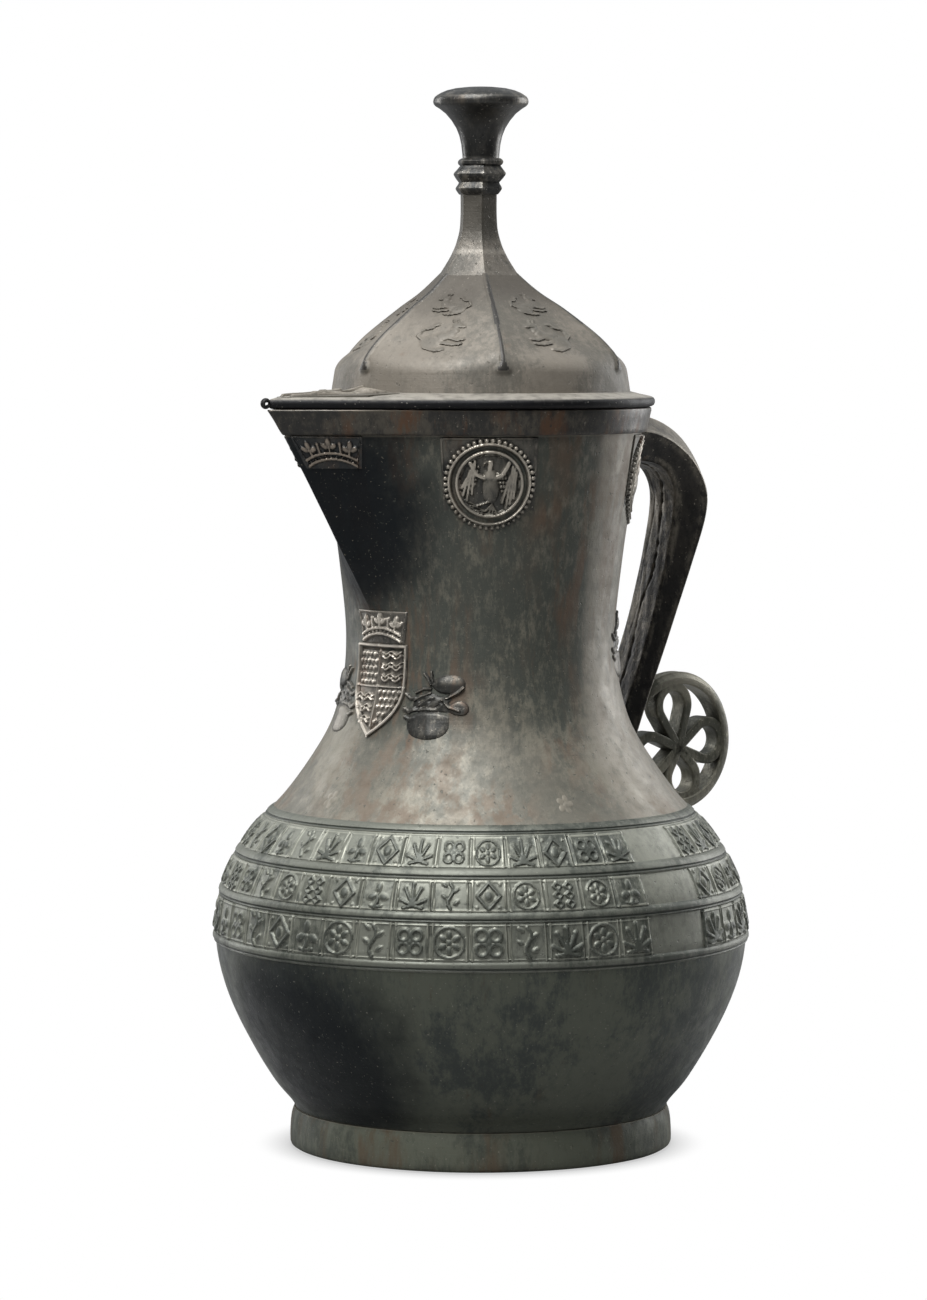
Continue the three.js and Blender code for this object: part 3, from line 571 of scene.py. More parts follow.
# The large dark patch makes the dome darker towards its top.
LID_FINISH = BrassFinish(
    "aged lid", "lid_brass", metal=(0.153, 0.135, 0.11), patina=(0.091, 0.083, 0.068),
    streak=(0.14, 0.11, 0.085), worn=(0.24, 0.215, 0.18), patina_share=0.42, streak_share=0.20,
    roughness=0.58, metallic=0.25, grain=0.18, stain_and_reflection=(0.068, 0.061, 0.052),
    stain_and_reflection_centre=(0.0, 0.0, (top_of("lid_dome") + 4) * MM), stain_and_reflection_size=0.08, stain_and_reflection_share=0.85,
)
FLANGE_FINISH = BrassFinish(
    "aged flange", "flange_brass", metal=(0.07, 0.064, 0.056), patina=(0.005, 0.005, 0.006),
    streak=(0.12, 0.09, 0.06), worn=(0.30, 0.28, 0.245), patina_share=0.7, streak_share=0.20,
    roughness=0.54, metallic=0.3, grain=0.15, stain_and_reflection=(0.004, 0.004, 0.005), stain_and_reflection_size=1.0,
    stain_and_reflection_share=0.6,
)
STEM_FINISH = BrassFinish(
    "aged stem", "finial_brass", metal=(0.135, 0.12, 0.10), patina=(0.052, 0.048, 0.039),
    streak=(0.11, 0.10, 0.07), worn=(0.5, 0.46, 0.40), patina_share=0.42, streak_share=0.20,
    roughness=0.46, metallic=0.35, grain=0.2,
)
# A darker copy of the stem's finish for the ribs: a thin dark line along each rib, and painted shade beside
# it.
RIB_LINE_AND_SHADE_FINISH = replace(
    STEM_FINISH, name="aged rib line and shade", metal=(0.085, 0.076, 0.063), patina=(0.026, 0.024, 0.021),
)
FINIAL_FINISH = BrassFinish(
    "aged finial", "finial_brass", metal=(0.14, 0.127, 0.107), patina=(0.02, 0.02, 0.019),
    streak=(0.10, 0.08, 0.06), worn=(0.50, 0.47, 0.42), patina_share=0.68, streak_share=0.20,
    roughness=0.34, grain=0.15,
)


@dataclass
class BodyForm:
    """The body's outer skin: a turned belly and neck, and a keel that grows out of the neck.

    All sizes are in millimetres; heights come from the construction where it has them.

    Attributes:
        waist: Radius over the foot.
        belly: Greatest radius.
        belly_z: Its height.
        neck: Radius of the neck where the shoulder ends.
        neck_z: Height of that place.
        rim: Radius at the mouth.
        flare_power: How late the neck flares: 1 for evenly.
        bend: Softness of the flare's beginning, as a share of the neck's height.
        hollow: Depth, rise over the foot and half width of the hollow over the foot.
        keel_foot_z: Height at which the keel leaves the neck.
        keel_reach: How far the keel stands from the axis at the collar.
        keel_softness: Softness of the keel's edge, in radians.
        foot_z: Height of the foot ring's top.
        collar_z: Height of the collar's lower edge.
        mouth_z: Height of the mouth.
    """

    waist: float = 111.3
    belly: float = 157.0
    belly_z: float = 131.0
    neck: float = 79.3
    neck_z: float = 300.0
    rim: float = 97.0
    flare_power: float = 1.2
    bend: float = 0.08
    hollow: tuple[float, float, float] = (2.2, 4.0, 8.0)
    keel_foot_z: float = 316.0
    keel_reach: float = 143.6
    keel_softness: float = 0.006
    foot_z: float = field(default_factory=lambda: top_of("foot_ring"))
    collar_z: float = field(default_factory=lambda: foot_of("rim_collar"))
    mouth_z: float = field(default_factory=lambda: top_of("rim_collar"))

    def __post_init__(self) -> None:
        """Makes the shoulder's curve: share of the way up against share of the way in."""
        self.shoulder = curve_through([
            (0, 0), (0.17, 0.078), (0.33, 0.278), (0.456, 0.53), (0.586, 0.735), (0.7, 0.878),
            (0.8, 0.948), (0.9, 0.988), (1, 1), (1.25, 1),
        ])

    def radius(self, z: Array) -> Array:
        """Returns the turned radius at a height."""
        z = np.asarray(z, float)
        depth, rise, width = self.hollow
        low = np.clip((z - self.foot_z) / (self.belly_z - self.foot_z), 0, 1)
        belly = self.waist + (self.belly - self.waist) * np.sin(math.pi / 2 * low)
        belly = belly - depth * np.exp(-(((z - self.foot_z - rise) / width) ** 2))
        share = np.clip((z - self.belly_z) / (self.neck_z - self.belly_z), 0, 1)
        shoulder = self.belly - (self.belly - self.neck) * self.shoulder(share)
        high = np.clip((z - self.neck_z) / (self.mouth_z - self.neck_z), 0, None)
        high = (np.sqrt(high**2 + self.bend**2) - self.bend) / (math.sqrt(1 + self.bend**2) - self.bend)
        neck = self.neck + (self.rim - self.neck) * high**self.flare_power
        return np.where(z <= self.belly_z, belly, np.where(z <= self.neck_z, shoulder, neck))

    def reach(self, z: Array) -> Array:
        """Returns how far the keel stands from the axis at a height."""
        start = float(self.radius(self.keel_foot_z))
        share = (np.asarray(z, float) - self.keel_foot_z) / (self.collar_z - self.keel_foot_z)
        return start + (self.keel_reach - start) * share

    def tangent(self, z: Array) -> Array:
        """Returns the angle from the keel to where its facet touches the round neck."""
        share = np.clip(self.radius(z) / np.maximum(self.reach(z), 1.0), 0, 1)
        return np.where(np.asarray(z, float) < self.keel_foot_z, 0.0, np.arccos(share))

    def keeled(self, angle: Array, radius: Array, tangent: Array) -> Array:
        """Returns the radius of a mouth outline at an angle from +X.

        Args:
            angle: Angles round the axis.
            radius: Radius of the round part.
            tangent: Angle from the keel to the end of its facets.

        Returns:
            The radius at each angle.
        """
        off = np.abs(np.mod(angle, TAU) - math.pi)
        soft = np.sqrt(off**2 + self.keel_softness**2)
        return np.where(soft < tangent, radius / np.cos(np.maximum(tangent - soft, 0)), radius)

    def skin(self, angle: Array, z: Array) -> Array:
        """Returns the skin's radius at an angle from +X and a height."""
        return self.keeled(angle, self.radius(z), self.tangent(z))

    def at(self, angle: Array, z: Array, out: Array) -> Array:
        """Returns points over the skin."""
        radius = self.skin(angle, z) + out
        return np.stack([radius * np.cos(angle), radius * np.sin(angle), z + 0 * radius], axis=-1)

    def tile(self, degrees: float, z: float) -> Place:
        """Returns a placer of flat patches on the skin.

        Args:
            degrees: Angle from the keel, rising towards the far side.
            z: Height of the patch's middle.

        Returns:
            A function that puts (across, up, out) on the skin.
        """
        middle = math.pi - math.radians(degrees)
        scale = float(self.radius(z))

        def place(u: Array, v: Array, out: Array) -> Array:
            """Puts (across, up, out) on the skin."""
            return self.at(middle + u / scale, z + v, out)

        return place

    def facet(self, side: int, z: float, inset: float) -> Place:
        """Returns a placer of flat patches on a spout facet.

        Args:
            side: -1 or 1, the side of the keel.
            z: Height of the patch's middle.
            inset: Distance from the keel to the patch's middle.

        Returns:
            A function that puts (across, up, out) on the facet.
        """

        def place(u: Array, v: Array, out: Array) -> Array:
            """Puts (across, up, out) on the facet."""
            level = z + v
            reach, tangent = self.reach(level), self.tangent(level)
            outward = np.stack([-np.cos(tangent), side * np.sin(tangent), 0 * tangent], axis=-1)
            keel = np.stack([-reach, 0 * reach, level], axis=-1)
            touch = outward * self.radius(level)[..., None] + np.array([0, 0, 1]) * level[..., None]
            along = (touch - keel) / np.linalg.norm(touch - keel, axis=-1, keepdims=True)
            return keel + along * (inset - side * u)[..., None] + outward * np.asarray(out)[..., None]

        return place


FORM = BodyForm()


def round_angles(count: int = 100) -> Array:
    """Returns angles round the body that crowd at the keel, where count is for one side's round part."""
    near = np.array([0.002, 0.005, 0.009, 0.014, 0.02, 0.03])
    side = np.concatenate([near, np.linspace(0.045, math.pi, count)])
    return np.concatenate([[math.pi], math.pi + side, (math.pi - side[:-1])[::-1]])


def ring_rows(angles: Array, radius: Array, z: Array) -> Array:
    """Returns rows of points on rings.

    Args:
        angles: Angles of the points.
        radius: Radii, rows by angles.
        z: Height of each row.

    Returns:
        The points, rows by angles.
    """
    levels = np.broadcast_to(np.asarray(z, float)[:, None], radius.shape)
    return np.stack([radius * np.cos(angles), radius * np.sin(angles), levels], axis=-1)


def turned_rows(profile: Line, around: int = 230) -> Array:
    """Returns rows of points of a turned piece from (radius, z) points."""
    angles = np.linspace(0, TAU, around, endpoint=False)
    points = np.array(profile, float)
    return ring_rows(angles, np.repeat(points[:, :1], around, axis=1), points[:, 1])


def mouth_rows(profile: Sequence[tuple[float, float, float]]) -> Array:
    """Returns rows of points of a piece that follows the mouth, from (radius, reach, z) points."""
    angles = round_angles()
    radii = np.stack([FORM.keeled(angles, r, math.acos(r / reach)) for r, reach, _ in profile])
    return ring_rows(angles, radii, np.array([z for *_, z in profile]))


def level_middle(node: str) -> float:
    """Height of a node's middle, in millimetres."""
    low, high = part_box(node)
    return (low.z + high.z) / 2 / MM


class Motif(Enum):
    """Traditional tile ornaments of the bands."""

    QUATREFOIL = "quatrefoil"
    LOZENGE = "lozenge"
    TREFOIL = "trefoil"
    ROSETTE = "rosette"
    PALMETTE = "palmette"
    DIAPER = "diaper"
    SPRIG = "sprig"


def figure_frame(x: float, y: float, size: float, facing: int = 1) -> Callable[[float, float], Point]:
    """Returns a function that turns shares of a figure's size, across and up, into a point.

    Args:
        x: The figure's middle, across.
        y: Its middle, up.
        size: Its size.
        facing: -1 to mirror it, else 1.

    Returns:
        The function.
    """
    return lambda across, up: (x + facing * across * size, y + up * size)


class Carving:
    """A carved ground: heights in millimetres over a flat patch, raised stroke by stroke."""

    def __init__(self, across: Array, up: Array, ground: Array | float) -> None:
        """Starts with a plain ground.

        Args:
            across: Position of each point across the patch.
            up: Position of each point up the patch.
            ground: Height of the plain ground, one or one for each point.
        """
        self.x, self.y = np.broadcast_arrays(across, up)
        self.ground = ground
        self.height = ground + np.zeros(self.x.shape)

    def raised(self, rise: Array) -> None:
        """Lifts the ground to a rise where that is higher than what is there."""
        self.height = np.where(rise > 0, np.maximum(self.height, self.ground + rise), self.height)

    def rounded(self, share: Array, power: float, rise: Array | float) -> None:
        """Raises a rounded form whose edge is where share is 1: the higher the power, the flatter."""
        self.raised(rise * np.sqrt(np.clip(1 - share**power, 0, 1)))

    def sunk(self, share: Array, depth: float) -> None:
        """Sinks a soft groove, deepest where share is 0."""
        self.height = self.height - depth * np.exp(-(share**2))

    def distance(self, points: Line) -> Array:
        """Returns each point's distance from a line through points."""
        best = np.full(self.x.shape, np.inf)
        for (ax, ay), (bx, by) in zip(points[:-1], points[1:]):
            length = max((bx - ax) ** 2 + (by - ay) ** 2, 1e-9)
            share = np.clip(((self.x - ax) * (bx - ax) + (self.y - ay) * (by - ay)) / length, 0, 1)
            off = np.hypot(self.x - ax - share * (bx - ax), self.y - ay - share * (by - ay))
            best = np.minimum(best, off)
        return best

    def off_ring(self, x: float, y: float, radius: float, width: float) -> Array:
        """Returns how far each point is from a ring, as a share of half its width."""
        return (np.hypot(self.x - x, self.y - y) - radius) / (width / 2)

    def stroke(self, points: Line, width: float, rise: float) -> None:
        """Raises a rounded stroke along points."""
        self.rounded(self.distance(points) / (width / 2), 4, rise)

    def lobe(self, x: float, y: float, half_x: float, half_y: float, rise: float, turn: float = 0.0,
             flat: float = 2.0) -> None:
        """Raises an ellipse, turned by degrees: domed at flat = 2, a steep-edged table above it."""
        cos, sin = math.cos(math.radians(turn)), math.sin(math.radians(turn))
        dx, dy = self.x - x, self.y - y
        share = np.hypot((dx * cos + dy * sin) / half_x, (dy * cos - dx * sin) / half_y)
        self.rounded(share, flat, rise)

    def ring(self, x: float, y: float, radius: float, width: float, rise: float) -> None:
        """Raises a rounded ring."""
        self.rounded(self.off_ring(x, y, radius, width), 2, rise)

    def groove(self, points: Line, width: float, depth: float) -> None:
        """Sinks a soft groove along points."""
        self.sunk(self.distance(points) / (width / 2), depth)

    def wear(self, deepest: float, highest: float) -> Array:
        """Returns how far each point stands up, 0 at the deepest height and 1 at the highest."""
        return np.clip((self.height - deepest) / (highest - deepest), 0, 1)

    def figure(self, at: Callable[[float, float], Point], size: float, rise: float, lobes: Iterable = (),
               strokes: Iterable = (), grooves: Iterable = ()) -> None:
        """Carves a figure out of lobes, strokes and grooves.

        Args:
            at: Turns shares of the figure's size into a point.
            size: The figure's size.
            rise: Its height over the ground.
            lobes: (across, up, half width, half height, share of the rise, turn in degrees) of each.
            strokes: (points, width, share of the rise) of each.
            grooves: (points, width, share of the rise) of each.
        """
        for across, up, half_x, half_y, share, turn in lobes:
            self.lobe(*at(across, up), half_x * size, half_y * size, share * rise, turn)
        for cut, lines in ((self.stroke, strokes), (self.groove, grooves)):
            for points, width, share in lines:
                cut([at(*point) for point in points], width * size, share * rise)

    def motif(self, motif: Motif, x: float, y: float, size: float, rise: float) -> None:
        """Carves a tile ornament.

        Args:
            motif: The ornament.
            x: Its middle, across.
            y: Its middle, up.
            size: Half of its height.
            rise: Its height over the ground.
        """
        thick = 0.25 * size
        at = figure_frame(x, y, size)

        def spoke(degrees: float, reach: float) -> Point:
            """Returns a point at an angle and a reach from the middle."""
            return at(reach * math.cos(math.radians(degrees)), reach * math.sin(math.radians(degrees)))

        if motif is Motif.QUATREFOIL:
            for turn in (45, 135, 225, 315):
                self.ring(*spoke(turn, 0.58), 0.34 * size, thick, rise)
            self.lobe(x, y, 0.24 * size, 0.24 * size, rise)
        elif motif is Motif.LOZENGE:
            corners = [at(0, 0.98), at(0.86, 0), at(0, -0.98), at(-0.86, 0), at(0, 0.98)]
            self.stroke(corners, thick, rise)
            self.lobe(x, y, 0.34 * size, 0.42 * size, rise)
            for across in (-0.85, 0.85):
                for up in (-0.85, 0.85):
                    self.lobe(*at(across, up), 0.14 * size, 0.14 * size, 0.7 * rise)
        elif motif is Motif.TREFOIL:
            for turn in (90, 200, 340):
                self.lobe(*spoke(turn, 0.5), 0.4 * size, 0.26 * size, rise, turn)
            self.stroke([at(0, -0.05), at(0.06, -0.5), at(-0.16, -0.92)], thick, rise)
            self.stroke([at(-0.5, -0.8), at(-0.16, -0.92), at(0.4, -0.82)], 0.8 * thick, 0.8 * rise)
        elif motif is Motif.ROSETTE:
            for turn in range(0, 360, 60):
                self.lobe(*spoke(turn + 30, 0.48), 0.3 * size, 0.19 * size, rise, turn + 30)
            self.lobe(x, y, 0.2 * size, 0.2 * size, rise)
            self.ring(x, y, 0.94 * size, 0.8 * thick, 0.85 * rise)
        elif motif is Motif.PALMETTE:
            for turn in (10, 50, 90, 130, 170):
                cos, sin = math.cos(math.radians(turn)), math.sin(math.radians(turn))
                tip = x + 0.95 * size * cos, y - 0.55 * size + 1.45 * size * sin * 0.95
                self.stroke([at(0, -0.7), tip], thick, rise)
                self.lobe(*tip, 0.17 * size, 0.17 * size, rise)
            self.stroke([at(-0.7, -0.9), at(0, -0.72), at(0.7, -0.9)], thick, rise)
        elif motif is Motif.DIAPER:
            for across in (-0.45, 0.45):
                for up in (-0.64, 0.0, 0.64):
                    self.stroke([at(across, up + 0.3), at(across + 0.3, up), at(across, up - 0.3),
                                 at(across - 0.3, up), at(across, up + 0.3)], 0.8 * thick, rise)
        else:
            stem = [at(0.22 * math.sin(3.4 * up), up) for up in np.linspace(-0.95, 0.95, 7)]
            self.stroke(stem, thick, rise)
            for up, side in ((-0.55, 1), (-0.1, -1), (0.35, 1), (0.75, -1)):
                self.lobe(*at(0.45 * side, up + 0.08), 0.3 * size, 0.15 * size, rise, 35 * side)

    def beast(self, x: float, y: float, size: float, facing: int, rise: float) -> None:
        """Carves a crouching beast with a turned head and a raised tail.

        Args:
            x: Its middle, across.
            y: Its middle, up.
            size: Half of its length.
            facing: 1 if it looks towards rising x, else -1.
            rise: Its height over the ground.
        """
        self.figure(figure_frame(x, y, size, facing), size, rise, (
            (-0.28, -0.36, 0.46, 0.40, 1.0, 12 * facing), (0.10, -0.10, 0.56, 0.25, 0.85, 14 * facing),
            (0.46, 0.20, 0.22, 0.34, 0.9, -18 * facing), (0.52, 0.60, 0.24, 0.19, 0.95, 0),
            (0.76, 0.54, 0.17, 0.10, 0.8, -10 * facing), (-0.3, 0.66, 0.14, 0.11, 0.75, 0),
        ), (
            (((0.40, 0.72), (0.28, 0.94)), 0.09, 0.75), (((0.58, 0.72), (0.46, 0.94)), 0.09, 0.75),
            (((0.2, -0.42), (0.62, -0.5), (0.92, -0.46)), 0.17, 0.8),
            (((0.38, -0.16), (0.74, -0.28), (0.98, -0.22)), 0.15, 0.75),
            (((-0.45, -0.66), (0.05, -0.8), (0.3, -0.74)), 0.18, 0.8),
            (((-0.66, -0.3), (-0.92, -0.02), (-0.78, 0.34), (-0.46, 0.42), (-0.34, 0.62)), 0.13, 0.7),
        ), (
            (((-0.52, -0.02), (-0.1, -0.16), (0.02, -0.5)), 0.09, 0.3),
            (((0.26, 0.36), (0.5, 0.3), (0.66, 0.06)), 0.07, 0.25),
        ))

    def badge(self, facing: int, rise: float) -> None:
        """Carves the neck's badge: a beast that crouches over a rounded hump, its legs stretched out.

        Args:
            facing: 1 if its limbs stretch towards falling x, else -1.
            rise: Its height over the ground.
        """
        across, upward = facing * self.x + 3.5, self.y + 9.6
        share = np.abs(across / 13.2) ** 2.4 + np.abs(upward / 9.4) ** 2.4
        slope = 0.9 - 0.042 * np.abs(across - 0.4 + 0.12 * upward)
        self.rounded(share, 2, rise * slope)
        self.lobe(14.0 * facing, -1.0, 6.4, 4.4, 0.6 * rise, -8 * facing, 6)
        self.figure(figure_frame(0, 0, 1, facing), 1, rise, (
            (-1.0, 0.5, 13.5, 7.5, 0.5, 0), (2.0, 2.0, 7.5, 5.0, 0.72, 0),
            (7.8, 12.2, 10.2, 5.8, 1, 4 * facing),
        ), (
            (((6.5, 4.6), (10.5, 6.4), (13.5, 8.0), (16.6, 10.6)), 2.0, 0.8),
            (((4.5, 3.4), (8.5, -0.4), (14.5, -2.4)), 2.2, 0.95),
            *((points, width, 0.62) for points, width in (
                (((-3.0, 10.0), (-7.5, 9.8), (-12.4, 7.4)), 1.8),
                (((-3.0, 7.4), (-8.5, 5.6), (-13.0, 3.0)), 1.8),
                (((-3.4, 4.4), (-8.0, 1.6), (-12.0, -2.0)), 1.6),
                (((-2.0, 1.2), (-5.0, -1.4), (-9.5, -3.0)), 1.4),
                (((-7.8, 18.2), (-5.0, 15.4), (-3.4, 12.2)), 1.8),
                (((-3.2, 19.2), (-2.6, 15.6), (-1.6, 12.0)), 1.8),
                (((-19.0, 6.4), (-15.6, 4.0), (-12.4, 4.4)), 2.2),
                (((-19.4, -2.0), (-15.6, -3.6), (-12.0, -2.0)), 3.0),
                (((-18.0, -6.4), (-14.8, -8.0), (-12.0, -7.0)), 2.4),
            )),
        ), (
            (((-14.0, -4.6), (-6.0, -3.2), (2.0, -3.4), (8.0, -4.8), (17.5, -6.4)), 1.5, 0.42),
            (((-1.6, 8.6), (2.0, 6.6), (7.0, 6.0)), 2.2, 0.5),
            (((9.0, 1.6), (14.0, 4.4), (17.4, 6.4)), 1.6, 0.4),
            *((((x, y), (x - 2.0, y - 0.9)), 1.3, 0.34) for x, y in (
                (-6.0, 7.7), (-7.0, 3.4), (-5.6, 0.2), (-1.0, 3.6), (2.6, 0.4), (5.0, 2.6), (-9.8, -0.6),
            )),
        ))

    def bird(self, x: float, y: float, size: float, rise: float) -> None:
        """Carves a bird with spread wings, its tail down and its head turned.

        Args:
            x: Its middle, across.
            y: Its middle, up.
            size: Half of its height.
            rise: Its height over the ground.
        """
        lobes = [(0.04, -0.12, 0.31, 0.52, 1.2, 0), (0.02, 0.34, 0.24, 0.26, 1.3, 0),
                 (0.02, 0.82, 0.12, 0.1, 1.1, 0)]
        strokes = [(((0.08, -0.66), (0.12 + fan, -0.94)), 0.09, 0.6) for fan in (-0.12, 0.0, 0.12)]
        strokes += [(((0.02, 0.4), (0.0, 0.6), (0.04, 0.78)), 0.2, 1.1),
                    (((-0.05, 0.84), (-0.19, 0.79), (-0.21, 0.7)), 0.07, 0.8)]
        for side, feathers, (scale_x, scale_y) in (
            (-1, ((-0.50, 0.86, -0.62, -0.30), (-0.58, 0.72, -0.80, -0.52), (-0.68, 0.52, -0.93, -0.34),
                  (-0.78, 0.26, -0.97, -0.08)), (-0.50, 0.66)),
            (1, ((0.80, 0.66, 0.58, -0.82), (0.87, 0.58, 0.72, -0.66), (0.93, 0.46, 0.85, -0.46),
                 (0.70, 0.30, 0.44, -0.60)), (0.42, 0.40)),
        ):
            arm = (0.18 * side, 0.26), (0.42 * side, 0.36), (0.58 * side, 0.60), (0.66 * side, 0.78)
            strokes += [(arm, 0.17, 1.1)] + [(((x0, y0), (x1, y1)), 0.12, 1) for x0, y0, x1, y1 in feathers]
            for row in range(5):
                lobes += [(scale_x + 0.11 * (column - 1) + 0.03 * side * row, scale_y - 0.15 * row,
                           0.055, 0.07, 0.95, 0) for column in range(3)]
        for leg, (x0, y0) in (((-0.02, -0.58), (-0.44, -0.72)), ((0.06, -0.70), (-0.14, -0.90))):
            strokes += [((leg, (x0, y0)), 0.09, 0.8)]
            strokes += [(((x0, y0), (x0 - 0.34, y0 + spread + 0.03)), 0.05, 0.7)
                        for spread in (-0.12, 0.0, 0.12)]
        self.figure(figure_frame(x, y, size), size, rise, lobes, strokes)

    def crown(self, width: float, height: float, rise: float) -> None:
        """Carves a crown over an arched band, three leaves and two points, in the patch's middle."""

        def arc(level: float, share: float) -> list[Point]:
            """Returns a shallow arch at a level, spanning a share of the width."""
            return [(share * width * across / 2, (level - 0.24 * across**2) * height)
                    for across in np.linspace(-1, 1, 13)]

        for level in (-0.22, -0.03):
            self.stroke(arc(level, 0.92), 0.1 * height, rise)
        for across in np.linspace(-0.9, 0.9, 9):
            y = (-0.125 - 0.24 * across**2) * height
            self.lobe(0.43 * width * across, y, 0.05 * height, 0.05 * height, 0.7 * rise)
        for leaf in (-0.74, 0.0, 0.74):
            x = 0.46 * width * leaf
            y = (0.17 - 0.2 * leaf**2) * height
            self.stroke([(0.93 * x, y - 0.18 * height), (x, y)], 0.09 * height, rise)
            self.lobe(x, y + 0.15 * height, 0.11 * height, 0.17 * height, rise)
            for side in (-1, 1):
                self.lobe(x + side * 0.15 * height, y + 0.02 * height, 0.16 * height, 0.1 * height, rise,
                          30 * side)
        for point in (-0.38, 0.38):
            x = 0.46 * width * point
            self.stroke([(x, -0.05 * height), (1.02 * x, 0.22 * height)], 0.11 * height, 0.8 * rise)
            self.lobe(1.03 * x, 0.27 * height, 0.075 * height, 0.075 * height, 0.9 * rise)


@dataclass
class Vessel:
    """The foot, belly, neck, spout and rim.

    Attributes:
        wall: Thickness of the wall.
        band_wear: How much more the belly is worn from the lowest fillet up.
        low_wear: How much more the neck is worn at its foot.
        rear_wear_and_highlight: How much paler the neck is behind the spout: wear, and a painted highlight
            on its right-hand side.
        foot_side: The foot's worn outside, as (inset from its radius, height).
        collar_side: The collar's outside, as (radius, reach, rise), up to its middle.
        neck_spots: Dark spots on the neck, as (angle, height, half width in radians, half height).
    """

    wall: float = 5.0
    band_wear: float = 0.3
    low_wear: float = 0.29
    rear_wear_and_highlight: float = 0.34
    foot_side: tuple[Point, ...] = (
        (3.4, 0.0), (1.6, 0.25), (0.6, 0.9), (0.1, 2.2), (0.0, 5.0), (0.1, 9.0), (0.4, 14.0), (1.0, 18.0),
        (1.7, 20.4),
    )
    collar_side: tuple[Colour, ...] = (
        (91.0, 137.6, 0.0), (96.2, 143.8, 0.0), (97.2, 145.0, 0.3), (97.8, 146.0, 1.2), (98.1, 147.2, 2.6),
        (98.5, 148.8, 4.8), (99.3, 151.4, 8.5),
    )
    neck_spots: tuple[tuple[float, float, float, float], ...] = (
        (4.135, 313.0, 0.05, 9.0), (4.19, 331.0, 0.03, 5.0), (4.3, 296.0, 0.02, 4.0),
    )

    def foot(self) -> None:
        """Makes the foot ring, slightly swelled, with a worn edge."""
        top, outer = FORM.foot_z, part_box("foot_ring")[1].x / MM
        inner = FORM.waist - self.wall
        profile = [(inner, 0.2), *((outer - inset, z) for inset, z in self.foot_side),
                   (outer - 2.3, top - 0.9), (outer - 2.5, top), (inner, top)]
        maker = MeshMaker().tube(turned_rows(profile), closed=True)
        maker.make("foot", Body.VESSEL, FOOT_FINISH, ["foot_ring"])

    def belly(self) -> None:
        """Makes the round belly as one thin turned wall."""
        low, high = foot_of("belly_shell"), top_of("belly_shell")
        outside = [(float(FORM.radius(z)), z) for z in np.linspace(low - 0.2, high + 0.05, 110)]
        inside = [(float(FORM.radius(z)) - self.wall, z) for z in np.linspace(high, low, 24)]
        edge = (foot_of("fillet_1") + top_of("fillet_1")) / 2
        wear = np.array([0.5 + self.band_wear * (z > edge) for _, z in outside + inside])
        maker = MeshMaker().tube(turned_rows(outside + inside), wear[:, None], closed=True)
        belly = maker.make("belly", Body.VESSEL, BELLY_FINISH, ["belly_shell"])
        belly.data.materials.append(BAND_FINISH.material())
        for face in belly.data.polygons:
            face.material_index = int(face.center.z > edge * MM)

    def neck(self) -> None:
        """Makes the neck and the spout that grows out of it as one thin wall."""
        low, high = foot_of("neck_shell"), FORM.collar_z
        angles = round_angles()
        rise = np.concatenate([np.linspace(low - 0.1, FORM.keel_foot_z, 60),
                               np.linspace(FORM.keel_foot_z, high, 62)[1:]])
        outside = np.stack([FORM.skin(angles, z) for z in rise])
        fall = np.linspace(high, low, 40)
        shares = (FORM.radius(fall) - self.wall) / FORM.radius(fall)
        inside = np.stack([FORM.skin(angles, z) * share for z, share in zip(fall, shares)])
        rows = np.concatenate([ring_rows(angles, outside, rise), ring_rows(angles, inside, fall)])
        heights, turn = np.concatenate([rise, fall])[:, None], angles[None, :]
        around = np.abs(np.mod(turn, TAU) - math.pi)
        runs = (8 * np.sin(7 * turn + 1) + 6 * np.sin(19 * turn + 2)
                + 5 * np.sin(43 * turn) + 3 * np.sin(71 * turn))
        # Paler towards the handle's side: wear, and a painted highlight along the neck's right-hand side.
        wear = (0.5 + self.low_wear * (1 - smoothstep(heights + runs, 228, 304))
                + self.rear_wear_and_highlight * smoothstep(around, 1.63, 1.79))
        for middle, level, wide, tall in self.neck_spots:
            spot = np.hypot((np.mod(turn, TAU) - middle) / wide, (heights - level) / tall)
            wear = wear - 0.4 * np.exp(-(spot**2))
        maker = MeshMaker().tube(rows, np.clip(wear, 0, 0.88), closed=True)
        maker.make("neck_and_spout", Body.VESSEL, NECK_FINISH, ["neck_shell", "spout"])

    def collar(self) -> None:
        """Makes the rim's collar: a band that follows the mouth, soft below and crisp above."""
        low, high = FORM.collar_z, FORM.mouth_z
        profile = [
            *((r, reach, low + up) for r, reach, up in self.collar_side), (100.3, 154.9, high - 1.8),
            (100.2, 156.1, high - 0.5), (99.6, 155.8, high), (91.0, 148.3, high), (91.0, 142.0, low + 7),
        ]
        maker = MeshMaker().tube(mouth_rows(profile), closed=True)
        maker.make("rim_band", Body.VESSEL, RIM_FINISH, ["rim_collar"])

    def base(self) -> None:
        """Dresses the let-in base plate, whose solid is right as it is."""
        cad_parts["base_plate"].material_slots[0].material = FOOT_FINISH.material()

    def build(self) -> None:
        """Makes all the pieces."""
        for make in (self.foot, self.belly, self.neck, self.collar, self.base):
            make()


